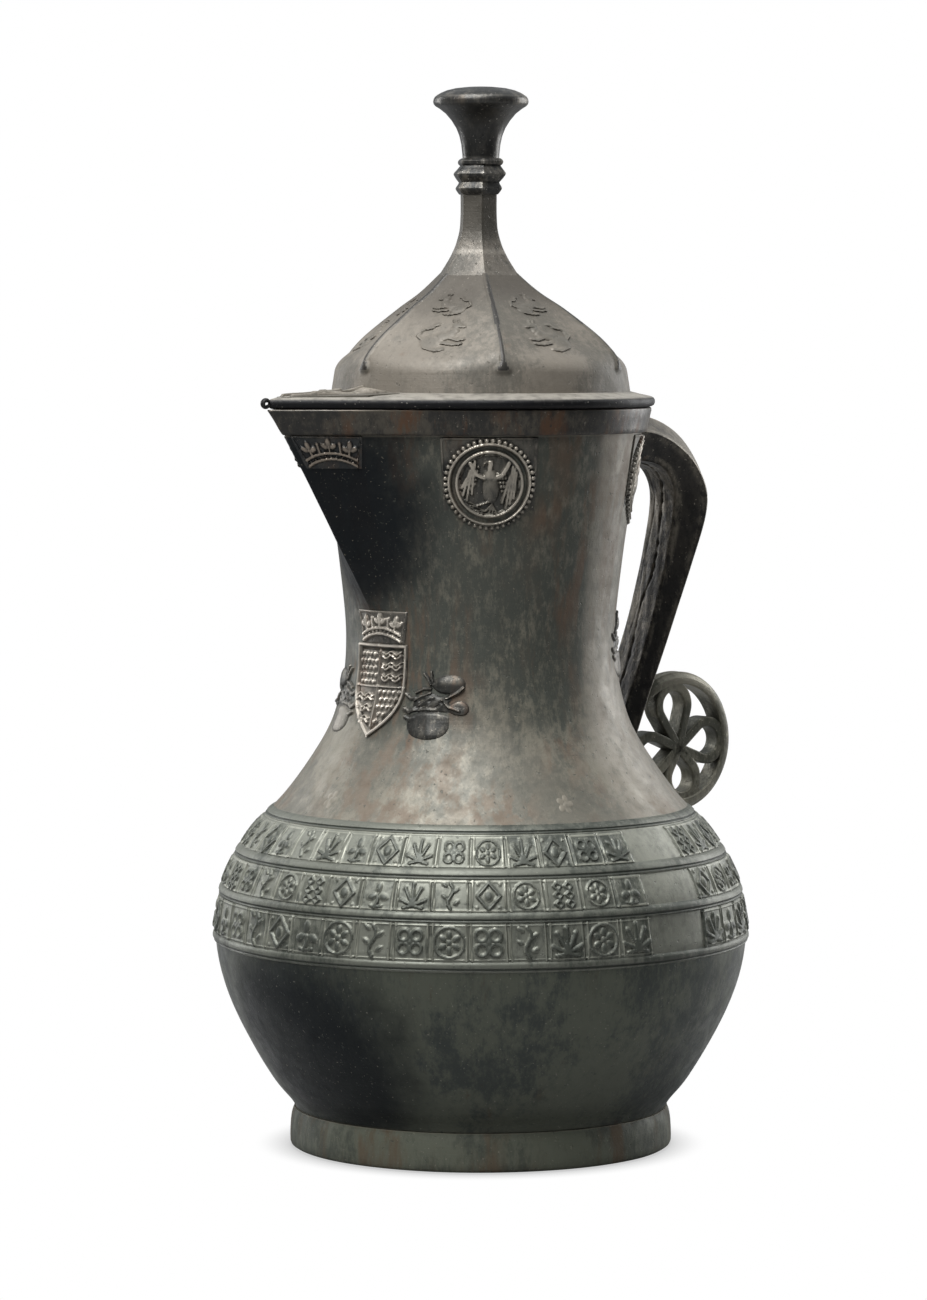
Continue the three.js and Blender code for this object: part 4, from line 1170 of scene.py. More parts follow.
@dataclass
class Bands:
    """The fillets round the belly and the tiled bands between them.

    Attributes:
        tiles: Number of tile places round the body.
        front: Tiles in the spout's half of a band.
        rear: Tiles in the handle's half of a band.
        step: Distance between carved points.
        plate: Height of a tile's ground over the skin.
        rise: Height of the ornament over its ground.
        lap: How far a strip reaches under the fillets beside it.
        seed: Seed of the tiles' order and unevenness.
        fillet: Half of a fillet's height.
        proud: How far a fillet stands out.
        slim: How much slimmer the top fillet is, as a share.
    """

    tiles: int = 44
    front: int = 22
    rear: int = 18
    step: float = 0.6
    plate: float = 0.5
    rise: float = 1.3
    lap: float = 1.5
    seed: int = 11
    fillet: float = 3.3
    proud: float = 1.7
    slim: float = 0.75

    def fillets(self) -> None:
        """Makes the four mouldings: a rounded fillet with a fine line sunk in its lower half."""
        shares = np.linspace(-1, 1, 19)
        wear = np.append(np.select([shares < -0.7, shares < -0.2], [0.62, 0.05], 0.27), [0.0] * 3)
        for number in range(1, 5):
            node = f"fillet_{number}"
            slim = self.slim if number == 4 else 1.0
            middle, half = (foot_of(node) + top_of(node)) / 2, self.fillet * slim
            profile = []
            for share in shares:
                z = middle + share * half
                sunk = 0.9 * math.exp(-(((share + 0.42) / 0.16) ** 2))
                proud = self.proud * slim * (1 - abs(share) ** 3) - sunk
                profile.append((float(FORM.radius(z)) + proud, z))
            back = [(float(FORM.radius(z)) - 1.0, z) for z in (middle + half, middle, middle - half)]
            maker = MeshMaker().tube(turned_rows(profile + back), wear[:, None], closed=True)
            maker.make(f"fillet_moulding_{number}", Body.VESSEL, BAND_FINISH, [node])

    def band(self, level: str, half: str, rng: np.random.Generator) -> None:
        """Makes one half of a band.

        Args:
            level: lower, middle or upper.
            half: front for the spout's half, rear for the handle's.
            rng: Source of the tiles' order and unevenness.
        """
        node = f"band_{level}_{half}"
        low, high = foot_of(node) - self.lap, top_of(node) + self.lap
        count, middle = (self.front, math.pi) if half == "front" else (self.rear, 0.0)
        pitch, centre = TAU / self.tiles, (low + high) / 2
        radius = float(FORM.radius(centre))
        per_tile = int(round(pitch * radius / self.step))
        vs = np.linspace(low, high, int(round((high - low) / self.step)) + 1)
        angles = middle + pitch * np.linspace(-count / 2, count / 2, count * per_tile + 1)
        heights = np.zeros((len(angles), len(vs)))
        tile_half, band_half = pitch * radius / 2, (high - low) / 2
        across = np.linspace(-tile_half, tile_half, per_tile + 1)[:, None]
        motifs, last = list(Motif), None
        for tile in range(count):
            ground = self.plate + rng.uniform(-0.2, 0.25)
            lean = rng.uniform(-0.05, 0.05)
            carving = Carving(across + lean * (vs - centre), vs - centre, ground)
            choice = last
            while choice is last:
                choice = motifs[rng.integers(len(motifs))]
            last = choice
            carving.motif(choice, rng.uniform(-0.3, 0.3), rng.uniform(-0.3, 0.3),
                          band_half * rng.uniform(0.82, 0.9), self.rise)
            for side in (-1, 1):
                edge = side * tile_half * rng.uniform(0.84, 0.9)
                carving.stroke([(edge, -band_half), (edge, band_half)], 0.9, 0.55)
                carving.groove([(side * tile_half, -band_half), (side * tile_half, band_half)], 1.1, 0.7)
            for side in (-1, 1):
                edge = side * band_half * 0.9
                carving.stroke([(-tile_half, edge), (tile_half, edge + 0.3 * lean)], 0.8, 0.4)
            heights[tile * per_tile:(tile + 1) * per_tile + 1] = carving.height
        # Painted light on the ornament: its slopes are made paler as painted highlights and its tops darker
        # as painted shade.
        share = (heights - self.plate) / self.rise
        edges, tops = np.exp(-(((share - 0.36) / 0.18) ** 2)), smoothstep(share, 0.5, 0.85)
        wear = np.clip(0.42 + 0.6 * edges - 0.42 * tops, 0, 1)
        maker = MeshMaker().patch(FORM.at, angles, vs, heights, wear, 1.0)
        maker.make(f"tiles_{level}_{half}", Body.VESSEL, BAND_FINISH, [node])

    def build(self) -> None:
        """Makes all the pieces."""
        self.fillets()
        rng = np.random.default_rng(self.seed)
        for level in ("lower", "middle", "upper"):
            for half in ("front", "rear"):
                self.band(level, half, rng)


@dataclass
class Devices:
    """The raised devices on the neck, the spout and the shoulder.

    Attributes:
        step: Distance between carved points.
        medallion_z: Height of the medallions' middles.
        medallion_angles: Angles of the front and rear medallions from the keel.
        tile: Side of a medallion's plate.
        beads: Number of beads round a medallion.
        bead_ring: Radius of the ring of beads.
        badge_places: Name, angle from the keel on the left and on the right, and height of the beasts.
        badge: Width and height of a beast's patch.
        shield: Width and height of the shield.
        shield_angle: How far the shield hangs to the left of the keel.
        shield_lift: How far it hangs over its solid's top.
        crown: Width and height of a crown.
        crown_lift: How far the shield's crown hangs over its solid's middle.
        rosettes: Angles from the keel of the shoulder's rosettes.
        rosette_z: Their height.
    """

    step: float = 0.55
    medallion_z: float = 393.0
    medallion_angles: Point = (54.6, 140.0)
    tile: float = 54.0
    beads: int = 46
    bead_ring: float = 25.1
    badge_places: tuple[tuple[str, float, float, float], ...] = (
        ("front", 33.1, 22.5, 265.4), ("rear", 141.0, 141.0, 296.0),
    )
    badge: Point = (42.0, 44.0)
    shield: Point = (42.0, 53.6)
    shield_angle: float = -5.0
    shield_lift: float = 1.8
    crown: Point = (38.0, 17.7)
    crown_lift: float = 2.2
    rosettes: Point = (-76.5, -2.0)
    rosette_z: float = 211.0

    def steps(self, length: float) -> Array:
        """Returns positions along a length about 0."""
        return np.linspace(-length / 2, length / 2, int(round(length / self.step)) + 1)

    def carving(self, width: float, height: float, ground: Array | float) -> tuple[Array, Array, Carving]:
        """Returns positions across and up a patch, and a carving on them."""
        us, vs = self.steps(width), self.steps(height)
        return us, vs, Carving(us[:, None], vs[None, :], ground)

    def medallion(self, where: str, hand: str, place: Place) -> None:
        """Makes a square plate with a beaded roundel that holds a bird."""
        half = self.tile / 2
        ground = 0.85 * smoothstep(self.steps(self.tile), -half, -2.0)[None, :] - 0.4
        us, vs, carving = self.carving(self.tile, self.tile, ground)
        edge = half - 0.9
        carving.stroke([(-edge, -8), (-edge, edge), (edge, edge), (edge, -4)], 1.3, 0.6)
        carving.sunk(carving.off_ring(0, 0, self.bead_ring, 3.6), 0.6)
        for turn in TAU * np.arange(self.beads) / self.beads:
            carving.lobe(self.bead_ring * math.cos(turn), self.bead_ring * math.sin(turn), 1.5, 1.5, 1.9)
        carving.ring(0, 0, 22.9, 2.2, 2.3)
        carving.sunk(carving.off_ring(0, 0, 20.6, 2.6), 0.9)
        carving.ring(0, 0, 18.6, 2.4, 2.0)
        carving.ring(0, 0, 16.9, 0.9, 1.1)
        carving.bird(0, -0.6, 16.2, 1.7)
        # Painted shade: the bird's body is made darker in its middle.
        painted_shade = 0.75 * np.exp(-(((us[:, None] - 0.7) / 4.6) ** 2) - ((vs[None, :] + 3.4) / 6.5) ** 2)
        name = f"medallion_{where}_{hand}"
        wear = np.clip(carving.wear(-0.2, 2.5) - painted_shade, 0, 1)
        maker = MeshMaker().patch(place, us, vs, carving.height, wear)
        maker.make(f"{name}_carved", Body.VESSEL, RELIEF_FINISH, [name])

    def beast(self, where: str, side: int, hand: str, place: Place) -> None:
        """Makes a crouching beast in high relief that melts into the neck."""
        us, vs, carving = self.carving(*self.badge, -0.5)
        carving.badge(-side, 3.0)
        across = -side * us[:, None]
        # Painted shade: the underside of the rounded lobe at the top, the paw on the right and the body's
        # middle are darkened as if shaded from the light above.
        painted_shade = (0.8 * np.exp(-(((across - 8.5) / 9) ** 2) - ((vs - 9.8) / 3.6) ** 2)
                 + 0.5 * np.exp(-(((across - 14) / 5) ** 2) - ((vs + 1.6) / 3) ** 2)
                 + 0.3 * np.exp(-(((across + 3) / 11) ** 2) - ((vs - 2.5) / 5) ** 2))
        name = f"badge_{where}_{hand}"
        wear = np.clip(carving.wear(-1.3, 4.6) - painted_shade, 0, 1)
        maker = MeshMaker().patch(place, us, vs, carving.height, wear)
        maker.make(f"{name}_carved", Body.VESSEL, RELIEF_FINISH, [name])

    def crown_plaque(self, name: str, place: Place, finish: BrassFinish, taper: float, still: float) -> None:
        """Makes a crown on a thin framed plaque that narrows towards its foot.

        Args:
            name: Name of the solid that it replaces.
            place: Puts (across, up, out) on the surface.
            finish: Its finish.
            taper: How much narrower it is at the foot, as a share of its width.
            still: The edge that stays upright, as a share of half the width, or 0 for the middle.
        """
        width, height = self.crown

        def narrowed(u: Array, v: Array, out: Array) -> Array:
            """Puts (across, up, out) on the surface, drawn in towards the foot."""
            keep = still * width / 2
            return place(keep + (u - keep) * (1 - taper * (0.5 - v / height)), v, out)

        us, vs, carving = self.carving(width + 3, height + 1, 0.35)
        carving.crown(width, height, 1.5)
        x, y = width / 2 + 0.8, height / 2 - 0.2
        carving.stroke([(-x * 0.86, -y), (-x, y), (x, y), (x * 0.86, -y)], 0.9, 0.7)
        maker = MeshMaker().patch(narrowed, us, vs, carving.height, carving.wear(0.0, 1.8), 1.0)
        maker.make(f"{name}_carved", Body.VESSEL, finish, [name])

    def shield_plaque(self) -> None:
        """Makes the shield: a raised border round four quarters of lozenges and wavy bars."""
        width, height = self.shield
        top, cross, margin = height / 2, 2.0, 3.6
        us = np.linspace(-1, 1, int(round(width / self.step)) + 1)
        vs = self.steps(height)
        fall = np.clip((0.1 - vs / height) / 0.6, 0, 1)
        half = width / 2 * np.maximum(np.cos(math.pi / 2 * fall**1.3), 0.03)
        across = us[:, None] * half[None, :]
        carving = Carving(across, vs[None, :] + 0 * across, 0.7)
        for row in range(6):
            for column in range(5):
                along, shift = 3.6 * column, 1.7 * (row % 2)
                for x, y in ((-18.4 + along + shift, 4.6 + 4.0 * row),
                             (2.4 + along + shift, -0.9 - 4.2 * row)):
                    room = np.interp(y, vs, half) - margin - abs(x)
                    inside = min(abs(x) - 1.2, room, top - margin - y)
                    if inside > 0 and (x < 0) == (y > cross):
                        carving.lobe(x, y, 0.95, 1.6, 1.6)
                        carving.lobe(x, y + 0.3, 1.45, 0.7, 1.5)
        for bar in range(3):
            for low, high, y in ((3.4, 17.2, 20.6 - 6.5 * bar), (-16.8 + 2.4 * bar, -3.0, -4.0 - 6.4 * bar)):
                xs = np.linspace(low, high, 22)
                for lift in (1.2, -1.2):
                    carving.stroke([(x, y + lift + 0.9 * math.sin(0.8 * x)) for x in xs], 1.1, 1.7)
                for x in xs[::4]:
                    carving.lobe(x, y, 0.9, 0.9, 1.5)
        carving.stroke([(0, -top), (0, top)], 1.2, 1.1)
        carving.stroke([(-width / 2, cross), (width / 2, cross)], 1.2, 1.1)
        border = np.minimum(half[None, :] - np.abs(across), top - vs[None, :])
        border = border / np.sqrt(1 + np.where(vs < 0, np.gradient(half, vs), 0) ** 2)[None, :]
        carving.rounded((border - 1.1) / 1.1, 2, 1.45)
        carving.sunk((border - 3.3) / 0.8, 1.0)
        place = FORM.tile(self.shield_angle, top_of("shield_plaque") + self.shield_lift - top)

        def warped(u: Array, v: Array, out: Array) -> Array:
            """Puts (share across, up, out) on the skin inside the shield's outline."""
            return place(u * np.interp(v, vs, half), v, out)

        maker = MeshMaker().patch(warped, us, vs, carving.height, carving.wear(-0.2, 2.3))
        maker.make("shield_carved", Body.VESSEL, SHIELD_FINISH, ["shield_plaque"])

    def rosette(self, number: int, degrees: float) -> None:
        """Makes a small rough rosette on the shoulder."""
        us, vs, carving = self.carving(15, 15, -0.5)
        for petal in range(5):
            turn = TAU * petal / 5
            carving.lobe(3.2 * math.cos(turn), 3.2 * math.sin(turn), 2.7, 2.2, 0.75, math.degrees(turn) + 25)
        carving.lobe(0.4, -0.3, 2.2, 1.9, 0.95)
        place = FORM.tile(degrees, self.rosette_z)
        maker = MeshMaker().patch(place, us, vs, carving.height, carving.wear(-3.6, 0.4), 1.0)
        maker.make(f"shoulder_rosette_{number}", Body.VESSEL, NECK_FINISH)

    def build(self) -> None:
        """Makes all the pieces."""
        for side, hand in ((-1, "left"), (1, "right")):
            for where, degrees in zip(("front", "rear"), self.medallion_angles):
                self.medallion(where, hand, FORM.tile(side * degrees, self.medallion_z))
            for where, *degrees, z in self.badge_places:
                self.beast(where, side, hand, FORM.tile(side * degrees[side > 0], z))
            crown = f"spout_crown_{hand}"
            place = FORM.facet(side, level_middle(crown), self.crown[0] / 2 + 5)
            self.crown_plaque(crown, place, SPOUT_FINISH, 0.22, side)
        self.shield_plaque()
        place = FORM.tile(self.shield_angle, level_middle("shield_crown") + self.crown_lift)
        self.crown_plaque("shield_crown", place, SHIELD_FINISH, 0.12, 0)
        for number, degrees in enumerate(self.rosettes, 1):
            self.rosette(number, degrees)


def rounded_outline(corners: Line, cut: float, counts: Sequence[int]) -> Array:
    """Returns a closed outline with rounded corners.

    Args:
        corners: The outline's corners.
        cut: Length that the rounding takes from each side at a corner.
        counts: Number of points on each side, from one corner to the next.

    Returns:
        Points of the outline, in two columns.
    """
    points = np.array(corners, float)
    out = []
    for i, corner in enumerate(points):
        before, after = points[i - 1], points[(i + 1) % len(points)]
        start = corner + (before - corner) / np.linalg.norm(before - corner) * cut
        end = corner + (after - corner) / np.linalg.norm(after - corner) * cut
        for t in (0.0, 0.25, 0.5, 0.75, 1.0):
            out.append((1 - t) ** 2 * start + 2 * t * (1 - t) * corner + t**2 * end)
        stop = after + (corner - after) / np.linalg.norm(corner - after) * cut
        out += [end + (stop - end) * t for t in np.linspace(0, 1, counts[i] + 2)[1:-1]]
    return np.array(out)


def curve_points(stations: Line, count: int) -> Array:
    """Returns points of a smooth curve through stations, evenly spaced in x and z."""
    places = np.array(stations, float)
    steps = np.concatenate([[0], np.cumsum(np.sqrt(np.linalg.norm(np.diff(places, axis=0), axis=1)))])
    ts = np.linspace(0, steps[-1], count)
    return np.stack([curve_through(list(zip(steps, places[:, i])))(ts) for i in (0, 1)], axis=-1)


@dataclass
class Handle:
    """The strap handle and the pierced roundel in the loop under it.

    Attributes:
        inner: Line of the inner face, as (x, z).
        outer: Line of the outer edges, as (x, z).
        widths: Full width of the outer edges above and below, and of the inner face.
        crest: Height of the crest at the top and along the back.
        rows: Number of cross-sections.
        middle: Middle of the roundel, as (x, z).
        radius: Radius of the roundel.
        band: Width of its ring.
        depth: Depth of its ring.
        drop: How far the loops' hub lies under the ring's middle.
        strap: Thickness of a loop's strap.
        loop: Width of a loop.
        ring_side: One side of the ring's section, as (outward, distance under its face).
        foot: Line of the roundel's foot from its middle, as (x, z).
        seed: Seed of the cracks in the inner face.
    """

    inner: tuple[Point, ...] = (
        (90, 400.5), (118, 402), (133, 397), (140, 386), (140.5, 372), (133.2, 338), (121.5, 301),
        (106, 262), (92, 230),
    )
    outer: tuple[Point, ...] = (
        (90, 420.6), (120, 418.5), (144, 406), (158, 388), (159.5, 371), (148.5, 340), (133.5, 302.5),
        (115.5, 259), (103, 228),
    )
    widths: tuple[float, float, float] = (40.0, 34.0, 24.0)
    crest: Point = (10.0, 15.0)
    rows: int = 230
    middle: Point = (150.0, 230.5)
    radius: float = 42.5
    band: float = 7.5
    depth: float = 14.0
    drop: float = 4.0
    strap: float = 6.0
    loop: float = 29.0
    ring_side: tuple[Point, ...] = (
        (-6.6, 0.0), (-3.6, 0.0), (-2.7, 0.7), (-2.2, 2.2), (-1.3, 2.9), (-0.4, 3.2), (0, 4.0), (-0.1, 5.0),
        (-1.0, 6.2),
    )
    foot: tuple[Point, ...] = ((17, -31.5), (8, -36), (-3, -40.5), (-18, -44))
    seed: int = 5

    def bow(self) -> None:
        """Makes the handle: flat and cracked inside, flared flanks, and a crest down its back."""
        inner, outer = curve_points(self.inner, self.rows), curve_points(self.outer, self.rows)
        rng = np.random.default_rng(self.seed)
        along = np.linspace(0, 1, self.rows)
        drift = np.interp(along, np.linspace(0, 1, 15), rng.uniform(-2.2, 2.2, 15))
        rough = np.interp(along, np.linspace(0, 1, 70), rng.uniform(0.0, 1.0, 70))
        slim = self.widths[2] / 2
        rows, wear = [], []
        for i in range(self.rows):
            t = i / (self.rows - 1)
            tall = float(np.linalg.norm(outer[i] - inner[i]))
            out = (outer[i] - inner[i]) / tall
            taper = float(smoothstep(t, 0.35, 1))
            wide = (self.widths[0] * (1 - taper) + self.widths[1] * taper) / 2
            risen = self.crest[0] + (self.crest[1] - self.crest[0]) * float(smoothstep(t, 0.05, 0.25))
            risen *= 1 - 0.35 * float(smoothstep(t, 0.5, 1))
            corners = [(-slim, 0), (-wide, tall), (0, tall + risen), (wide, tall), (slim, 0)]
            ring = rounded_outline(corners, 1.5, [14, 16, 16, 14, 36])
            y, height = ring[:, 0], ring[:, 1]
            face = np.exp(-((height / 1.2) ** 2)) * (np.abs(y) < slim)
            seam = np.exp(-(((y - drift[i]) / 0.9) ** 2)) * 1.5 * rough[i]
            side_seam = np.exp(-(((y - 6.0 + 0.8 * drift[i]) / 0.6) ** 2)) * 0.5 * rough[self.rows - 1 - i]
            swell = 0.6 * np.cos(y / slim * 1.3) - 0.18 * np.sin(0.23 * i + 0.9 * y) * rough[i]
            height = height + face * (seam + side_seam - swell)
            place = inner[i] + out * height[:, None]
            rows.append(np.stack([place[:, 0], y, place[:, 1]], axis=-1))
            # Painted light: the outer edges and the crest's ridge are paler, partly wear and partly a
            # painted highlight; the flanks are darkened as painted shade.
            sharp = np.exp(-(((np.abs(y) - wide + 1) / 1.3) ** 2))
            sharp = sharp + np.exp(-((y / 1.1) ** 2)) * (height > tall)
            painted_flank_shade = smoothstep(height, 1.5, 0.3 * tall) * (height < tall - 0.5)
            back = 0.25 * (height > tall + 1.0)
            worn = 0.5 + back + 0.3 * sharp - 0.5 * painted_flank_shade + 0.1 * face - 0.5 * face * seam
            wear.append(np.clip(worn, 0, 1))
        maker = MeshMaker().tube(np.stack(rows), np.stack(wear))
        maker.make("handle_bow", Body.VESSEL, HANDLE_FINISH, ["handle"])

    def swept(self, maker: MeshMaker, path: Array, section: Array, closed: bool) -> None:
        """Sweeps a section along a path in the handle's plane.

        Args:
            maker: Collects the mesh.
            path: Points of the path, as (x, z).
            section: Points of the section, as (outward, across).
            closed: Whether the path joins its own start.
        """
        if closed:
            ahead = np.roll(path, -1, axis=0) - np.roll(path, 1, axis=0)
        else:
            ahead = np.gradient(path, axis=0)
        ahead /= np.linalg.norm(ahead, axis=1, keepdims=True)
        aside = np.stack([ahead[:, 1], -ahead[:, 0]], axis=-1)
        section = np.broadcast_to(section, (len(path), *section.shape))
        flat = path[:, None, :] + aside[:, None, :] * section[..., :1]
        maker.tube(np.stack([flat[..., 0], section[..., 1], flat[..., 1]], axis=-1), closed=closed)

    def bar(self, half_x: float, half_y: float, cut: float) -> Array:
        """Returns a bar's section from half its width, half its depth and the cut at its corners."""
        corners = [(-half_x, -half_y), (half_x, -half_y), (half_x, half_y), (-half_x, half_y)]
        return rounded_outline(corners, cut, [3, 6, 3, 6])

    def roundel(self) -> None:
        """Makes the roundel: a moulded ring, four strap loops that meet, and a foot on the shoulder."""
        maker = MeshMaker()
        middle, deep = np.array(self.middle), self.depth / 2
        side = [(-self.band, deep - 0.8), *((out, deep - under) for out, under in self.ring_side)]
        section = np.array([(-self.band, 0), *side, (-1.4, 0), *((a, -b) for a, b in side[::-1])], float)
        turns = np.radians(np.linspace(-118, 194, 170))
        ring = middle + self.radius * np.stack([np.cos(turns), np.sin(turns)], axis=-1)
        self.swept(maker, ring, section, closed=False)
        half = self.loop / 2 - self.strap / 2
        strap = self.bar(self.strap / 2, 6.1, 1.2)
        hub = middle - np.array([0, self.drop])
        ways = np.linspace(0, 1, 12)[1:]
        for quarter in range(4):
            turn = math.radians(9 + 90 * quarter)
            length = self.radius - self.band + 2.2 + self.drop * math.sin(turn) - self.strap / 2
            centre = length - half
            lean = math.asin(half / centre)
            arc = np.linspace(-math.pi / 2 - lean, math.pi / 2 + lean, 40)
            bulb = np.stack([centre + half * np.cos(arc), half * np.sin(arc)], axis=-1)
            loop = np.concatenate([bulb, bulb[-1] * (1 - ways)[:, None], bulb[0] * ways[:-1, None]])
            spin = np.array([[math.cos(turn), math.sin(turn)], [-math.sin(turn), math.cos(turn)]])
            self.swept(maker, hub + loop @ spin, strap, closed=True)
        self.swept(maker, curve_points(self.foot, 24) + middle, self.bar(4.0, 6.2, 1.6), closed=False)
        maker.make("roundel", Body.VESSEL, ROUNDEL_FINISH, ["handle_roundel"])

    def build(self) -> None:
        """Makes both pieces."""
        self.bow()
        self.roundel()


@dataclass
class Lid:
    """The lid: a flat flange with a tongue over the spout, a ribbed dome, and the finial.

    Attributes:
        radius: Radius of the flange.
        reach: Reach of its tongue's tip.
        wall: Thickness of the dome.
        profile: Dome radii over its foot, as (rise, radius).
        edge: The flange's outside, as (radius inset, reach inset, rise): under its middle, then over it.
        slope: How far the flange's top rises towards the dome.
        scrolls: The tongue's scrolls, as (turn, distance from its middle, reach, size).
        facets: Number of the dome's facets.
        rib: Height of the ribs between the facets.
        rib_foot: Rise at which the ribs begin.
        lean: How far the finial stands off the axis.
        overlap: How far the stem's foot runs down into the dome.
        stem: The stem's foot, as (rise, radius).
        tiers: The knop, as (radius, rise).
        cup: The button's side, as (radius, rise).
        lip: The button's edge and top, as (radius, distance under its top).
    """

    radius: float = 102.4
    reach: float = 155.8
    wall: float = 3.5
    profile: tuple[Point, ...] = (
        (0, 88.2), (14, 86), (22, 84.5), (30, 78.5), (37, 70.5), (51, 51), (60, 37.5), (71.6, 24.2),
    )
    edge: tuple[tuple[Colour, ...], tuple[Colour, ...]] = (
        ((3.4, 4.0, 0.0), (1.8, 2.1, 0.3), (0.7, 0.8, 1.0), (0.1, 0.1, 2.1)),
        ((0.1, 0.1, -2.3), (0.7, 0.8, -1.3), (2.0, 2.4, -0.5), (4.6, 5.6, 0.2), (9.0, 11.0, 1.1)),
    )
    slope: float = 2.8
    scrolls: tuple[tuple[float, float, float, float], ...] = (
        (0.0, 15.5, 96.5, 8.5), (2.2, 9.2, 114.0, 6.3), (1.0, 5.0, 128.0, 4.2),
    )
    facets: int = 6
    rib: float = 1.7
    rib_foot: float = 15.5
    lean: float = 1.3
    overlap: float = 3.2
    stem: tuple[Point, ...] = (
        (-3.2, 27.0), (-1.2, 25.7), (0, 24.5), (3.7, 21.9), (8.2, 18.9), (12, 16.8), (16.5, 14.7),
        (24.8, 12.3), (34, 11.6),
    )
    tiers: tuple[Point, ...] = (
        (12.4, -0.2), (13.4, 0.9), (14.6, 2.5), (14.9, 3.3), (14.6, 4.1), (13.3, 6.0), (13.0, 6.8),
        (13.4, 7.3), (15.0, 9.0), (16.4, 10.9), (16.8, 11.8), (16.4, 12.6), (14.6, 14.6), (13.2, 16.2),
        (13.0, 16.7), (13.9, 17.2), (14.5, 18.2), (14.5, 19.2),
    )
    cup: tuple[Point, ...] = (
        (10.7, -0.2), (10.9, 2.5), (11.5, 8), (12.6, 13), (14.4, 17.5), (17.2, 22), (20.6, 26), (24.0, 28.7),
        (26.6, 30.3), (27.6, 31.4),
    )
    lip: tuple[Point, ...] = ((25.4, 4.8), (23.4, 3.6), (20.0, 2.2), (15.0, 1.0), (8.0, 0.25), (2.0, 0.0))

    def __post_init__(self) -> None:
        """Reads the lid's heights from the construction."""
        self.low, self.high = foot_of("lid_flange"), top_of("lid_flange")
        self.dome_foot, self.dome_top = foot_of("lid_dome"), top_of("lid_dome")
        self.dome_radius = curve_through([(self.dome_foot + rise, r) for rise, r in self.profile])
        self.sixth = TAU / self.facets

    def flange(self) -> None:
        """Makes the flange with its rolled edge and its top that rises to the dome."""
        low, high = self.low, self.high
        inner = self.profile[0][1] - self.wall
        under, over = ([(self.radius - a, self.reach - b, base + up) for a, b, up in part]
                       for base, part in zip((low, high), self.edge))
        profile = [(inner, inner + 1, low), *under, (self.radius, self.reach, (low + high) / 2), *over,
                   (inner + 2, inner + 3, high + self.slope), (inner, inner + 1, high + self.slope)]
        worn = np.array([0.2, 0.1, 0.05, 0.0, 0.0, 0.0, 0.2, 0.7, 0.9, 0.95, 0.95, 0.9, 0.9])
        maker = MeshMaker().tube(mouth_rows(profile), worn[:, None], closed=True)
        maker.make("flange", Body.LID, FLANGE_FINISH, ["lid_flange"], wavy=False)

    def tongue(self) -> None:
        """Makes the scrollwork on the tongue."""
        start, end = self.profile[0][1] - 2.0, self.reach - 9.0
        vs = np.linspace(start, end, 140)
        half = np.minimum((self.reach - vs) * 0.827 - 5.0, 34.0)
        us = np.linspace(-1, 1, 150)
        across = us[:, None] * half[None, :]
        carving = Carving(across, vs[None, :] + 0 * across, 0.0)
        for side in (-1, 1):
            for turn, x, y, size in self.scrolls:
                spiral = [(side * (x + size * (1 - 0.16 * t) * math.cos(t + turn)),
                           y + size * (1 - 0.16 * t) * math.sin(t + turn)) for t in np.linspace(0, 5.4, 24)]
                carving.stroke(spiral, 0.3 * size + 0.6, 1.2 + 0.12 * size)
                carving.lobe(side * x, y, 0.26 * size, 0.26 * size, 1.0 + 0.12 * size)
            stem = [(side * (26 - 0.42 * (y - 90) + 1.8 * math.sin(0.2 * y)), y)
                    for y in np.linspace(90, 141, 24)]
            carving.stroke(stem, 2.2, 1.5)
            for y in 93.0 + 9.5 * np.arange(5):
                carving.lobe(side * (22.5 - 0.4 * (y - 90)), y, 1.5, 3.4, 1.6, side * 40)
        carving.stroke([(0, start), (0, end)], 2.2, 1.7)
        fade = smoothstep(vs, start, start + 20)[None, :]
        lift = 3.2 * np.exp(-(((vs - start) / 9.0) ** 2))[None, :] * np.exp(-((across / 20) ** 2))
        edge = smoothstep(half[None, :] - np.abs(across), 0, 2.0) * smoothstep(end - vs, 0, 3.0)[None, :]
        height = carving.height * (0.65 + 0.35 * fade) * edge + lift * edge - 0.45

        def place(u: Array, v: Array, out: Array) -> Array:
            """Puts (share across, distance from the axis, out) on the tongue."""
            slope = 1.1 + 1.7 * (self.reach - 11 - v) / (self.reach - 100)
            return np.stack([-v, u * np.interp(v, vs, half), self.high + slope + out], axis=-1)

        maker = MeshMaker().patch(place, us, vs, height, np.clip((height + 0.3) / 2.4, 0, 1), 1.4)
        maker.make("tongue_scrolls", Body.LID, LID_FINISH, wavy=False)

    def curl(self) -> None:
        """Makes the curled bead at the tongue's tip."""
        tip, level = -(self.reach + 0.6), (self.low + self.high) / 2
        spin = np.linspace(0, TAU, 18, endpoint=False)
        rows = []
        for t in np.linspace(0, 1, 30):
            turn = 0.5 + t * 5.6
            thick = 1.35 * (1 - 0.25 * t) * math.sqrt(max(1 - (2 * t - 1) ** 10, 0.05))
            ring = 2.0 + thick * np.cos(spin)
            rows.append(np.stack([tip + math.cos(turn) * ring, 1.5 * thick * np.sin(spin),
                                  level + math.sin(turn) * ring], axis=-1))
        maker = MeshMaker().tube(np.stack(rows))
        maker.make("tongue_curl", Body.LID, FLANGE_FINISH, ["tongue_bead"], wavy=False)

    def section(self, angles: Array, radius: Array, roundness: Array | float) -> Array:
        """Returns radii between a circle (roundness 1) and a hexagon (0) with softened corners."""
        off = np.abs(np.mod(angles, self.sixth) - self.sixth / 2)
        off = np.minimum(off, self.sixth / 2 - 0.03)
        flat = radius * math.cos(self.sixth / 2) / np.cos(off)
        return flat + (radius - flat) * roundness

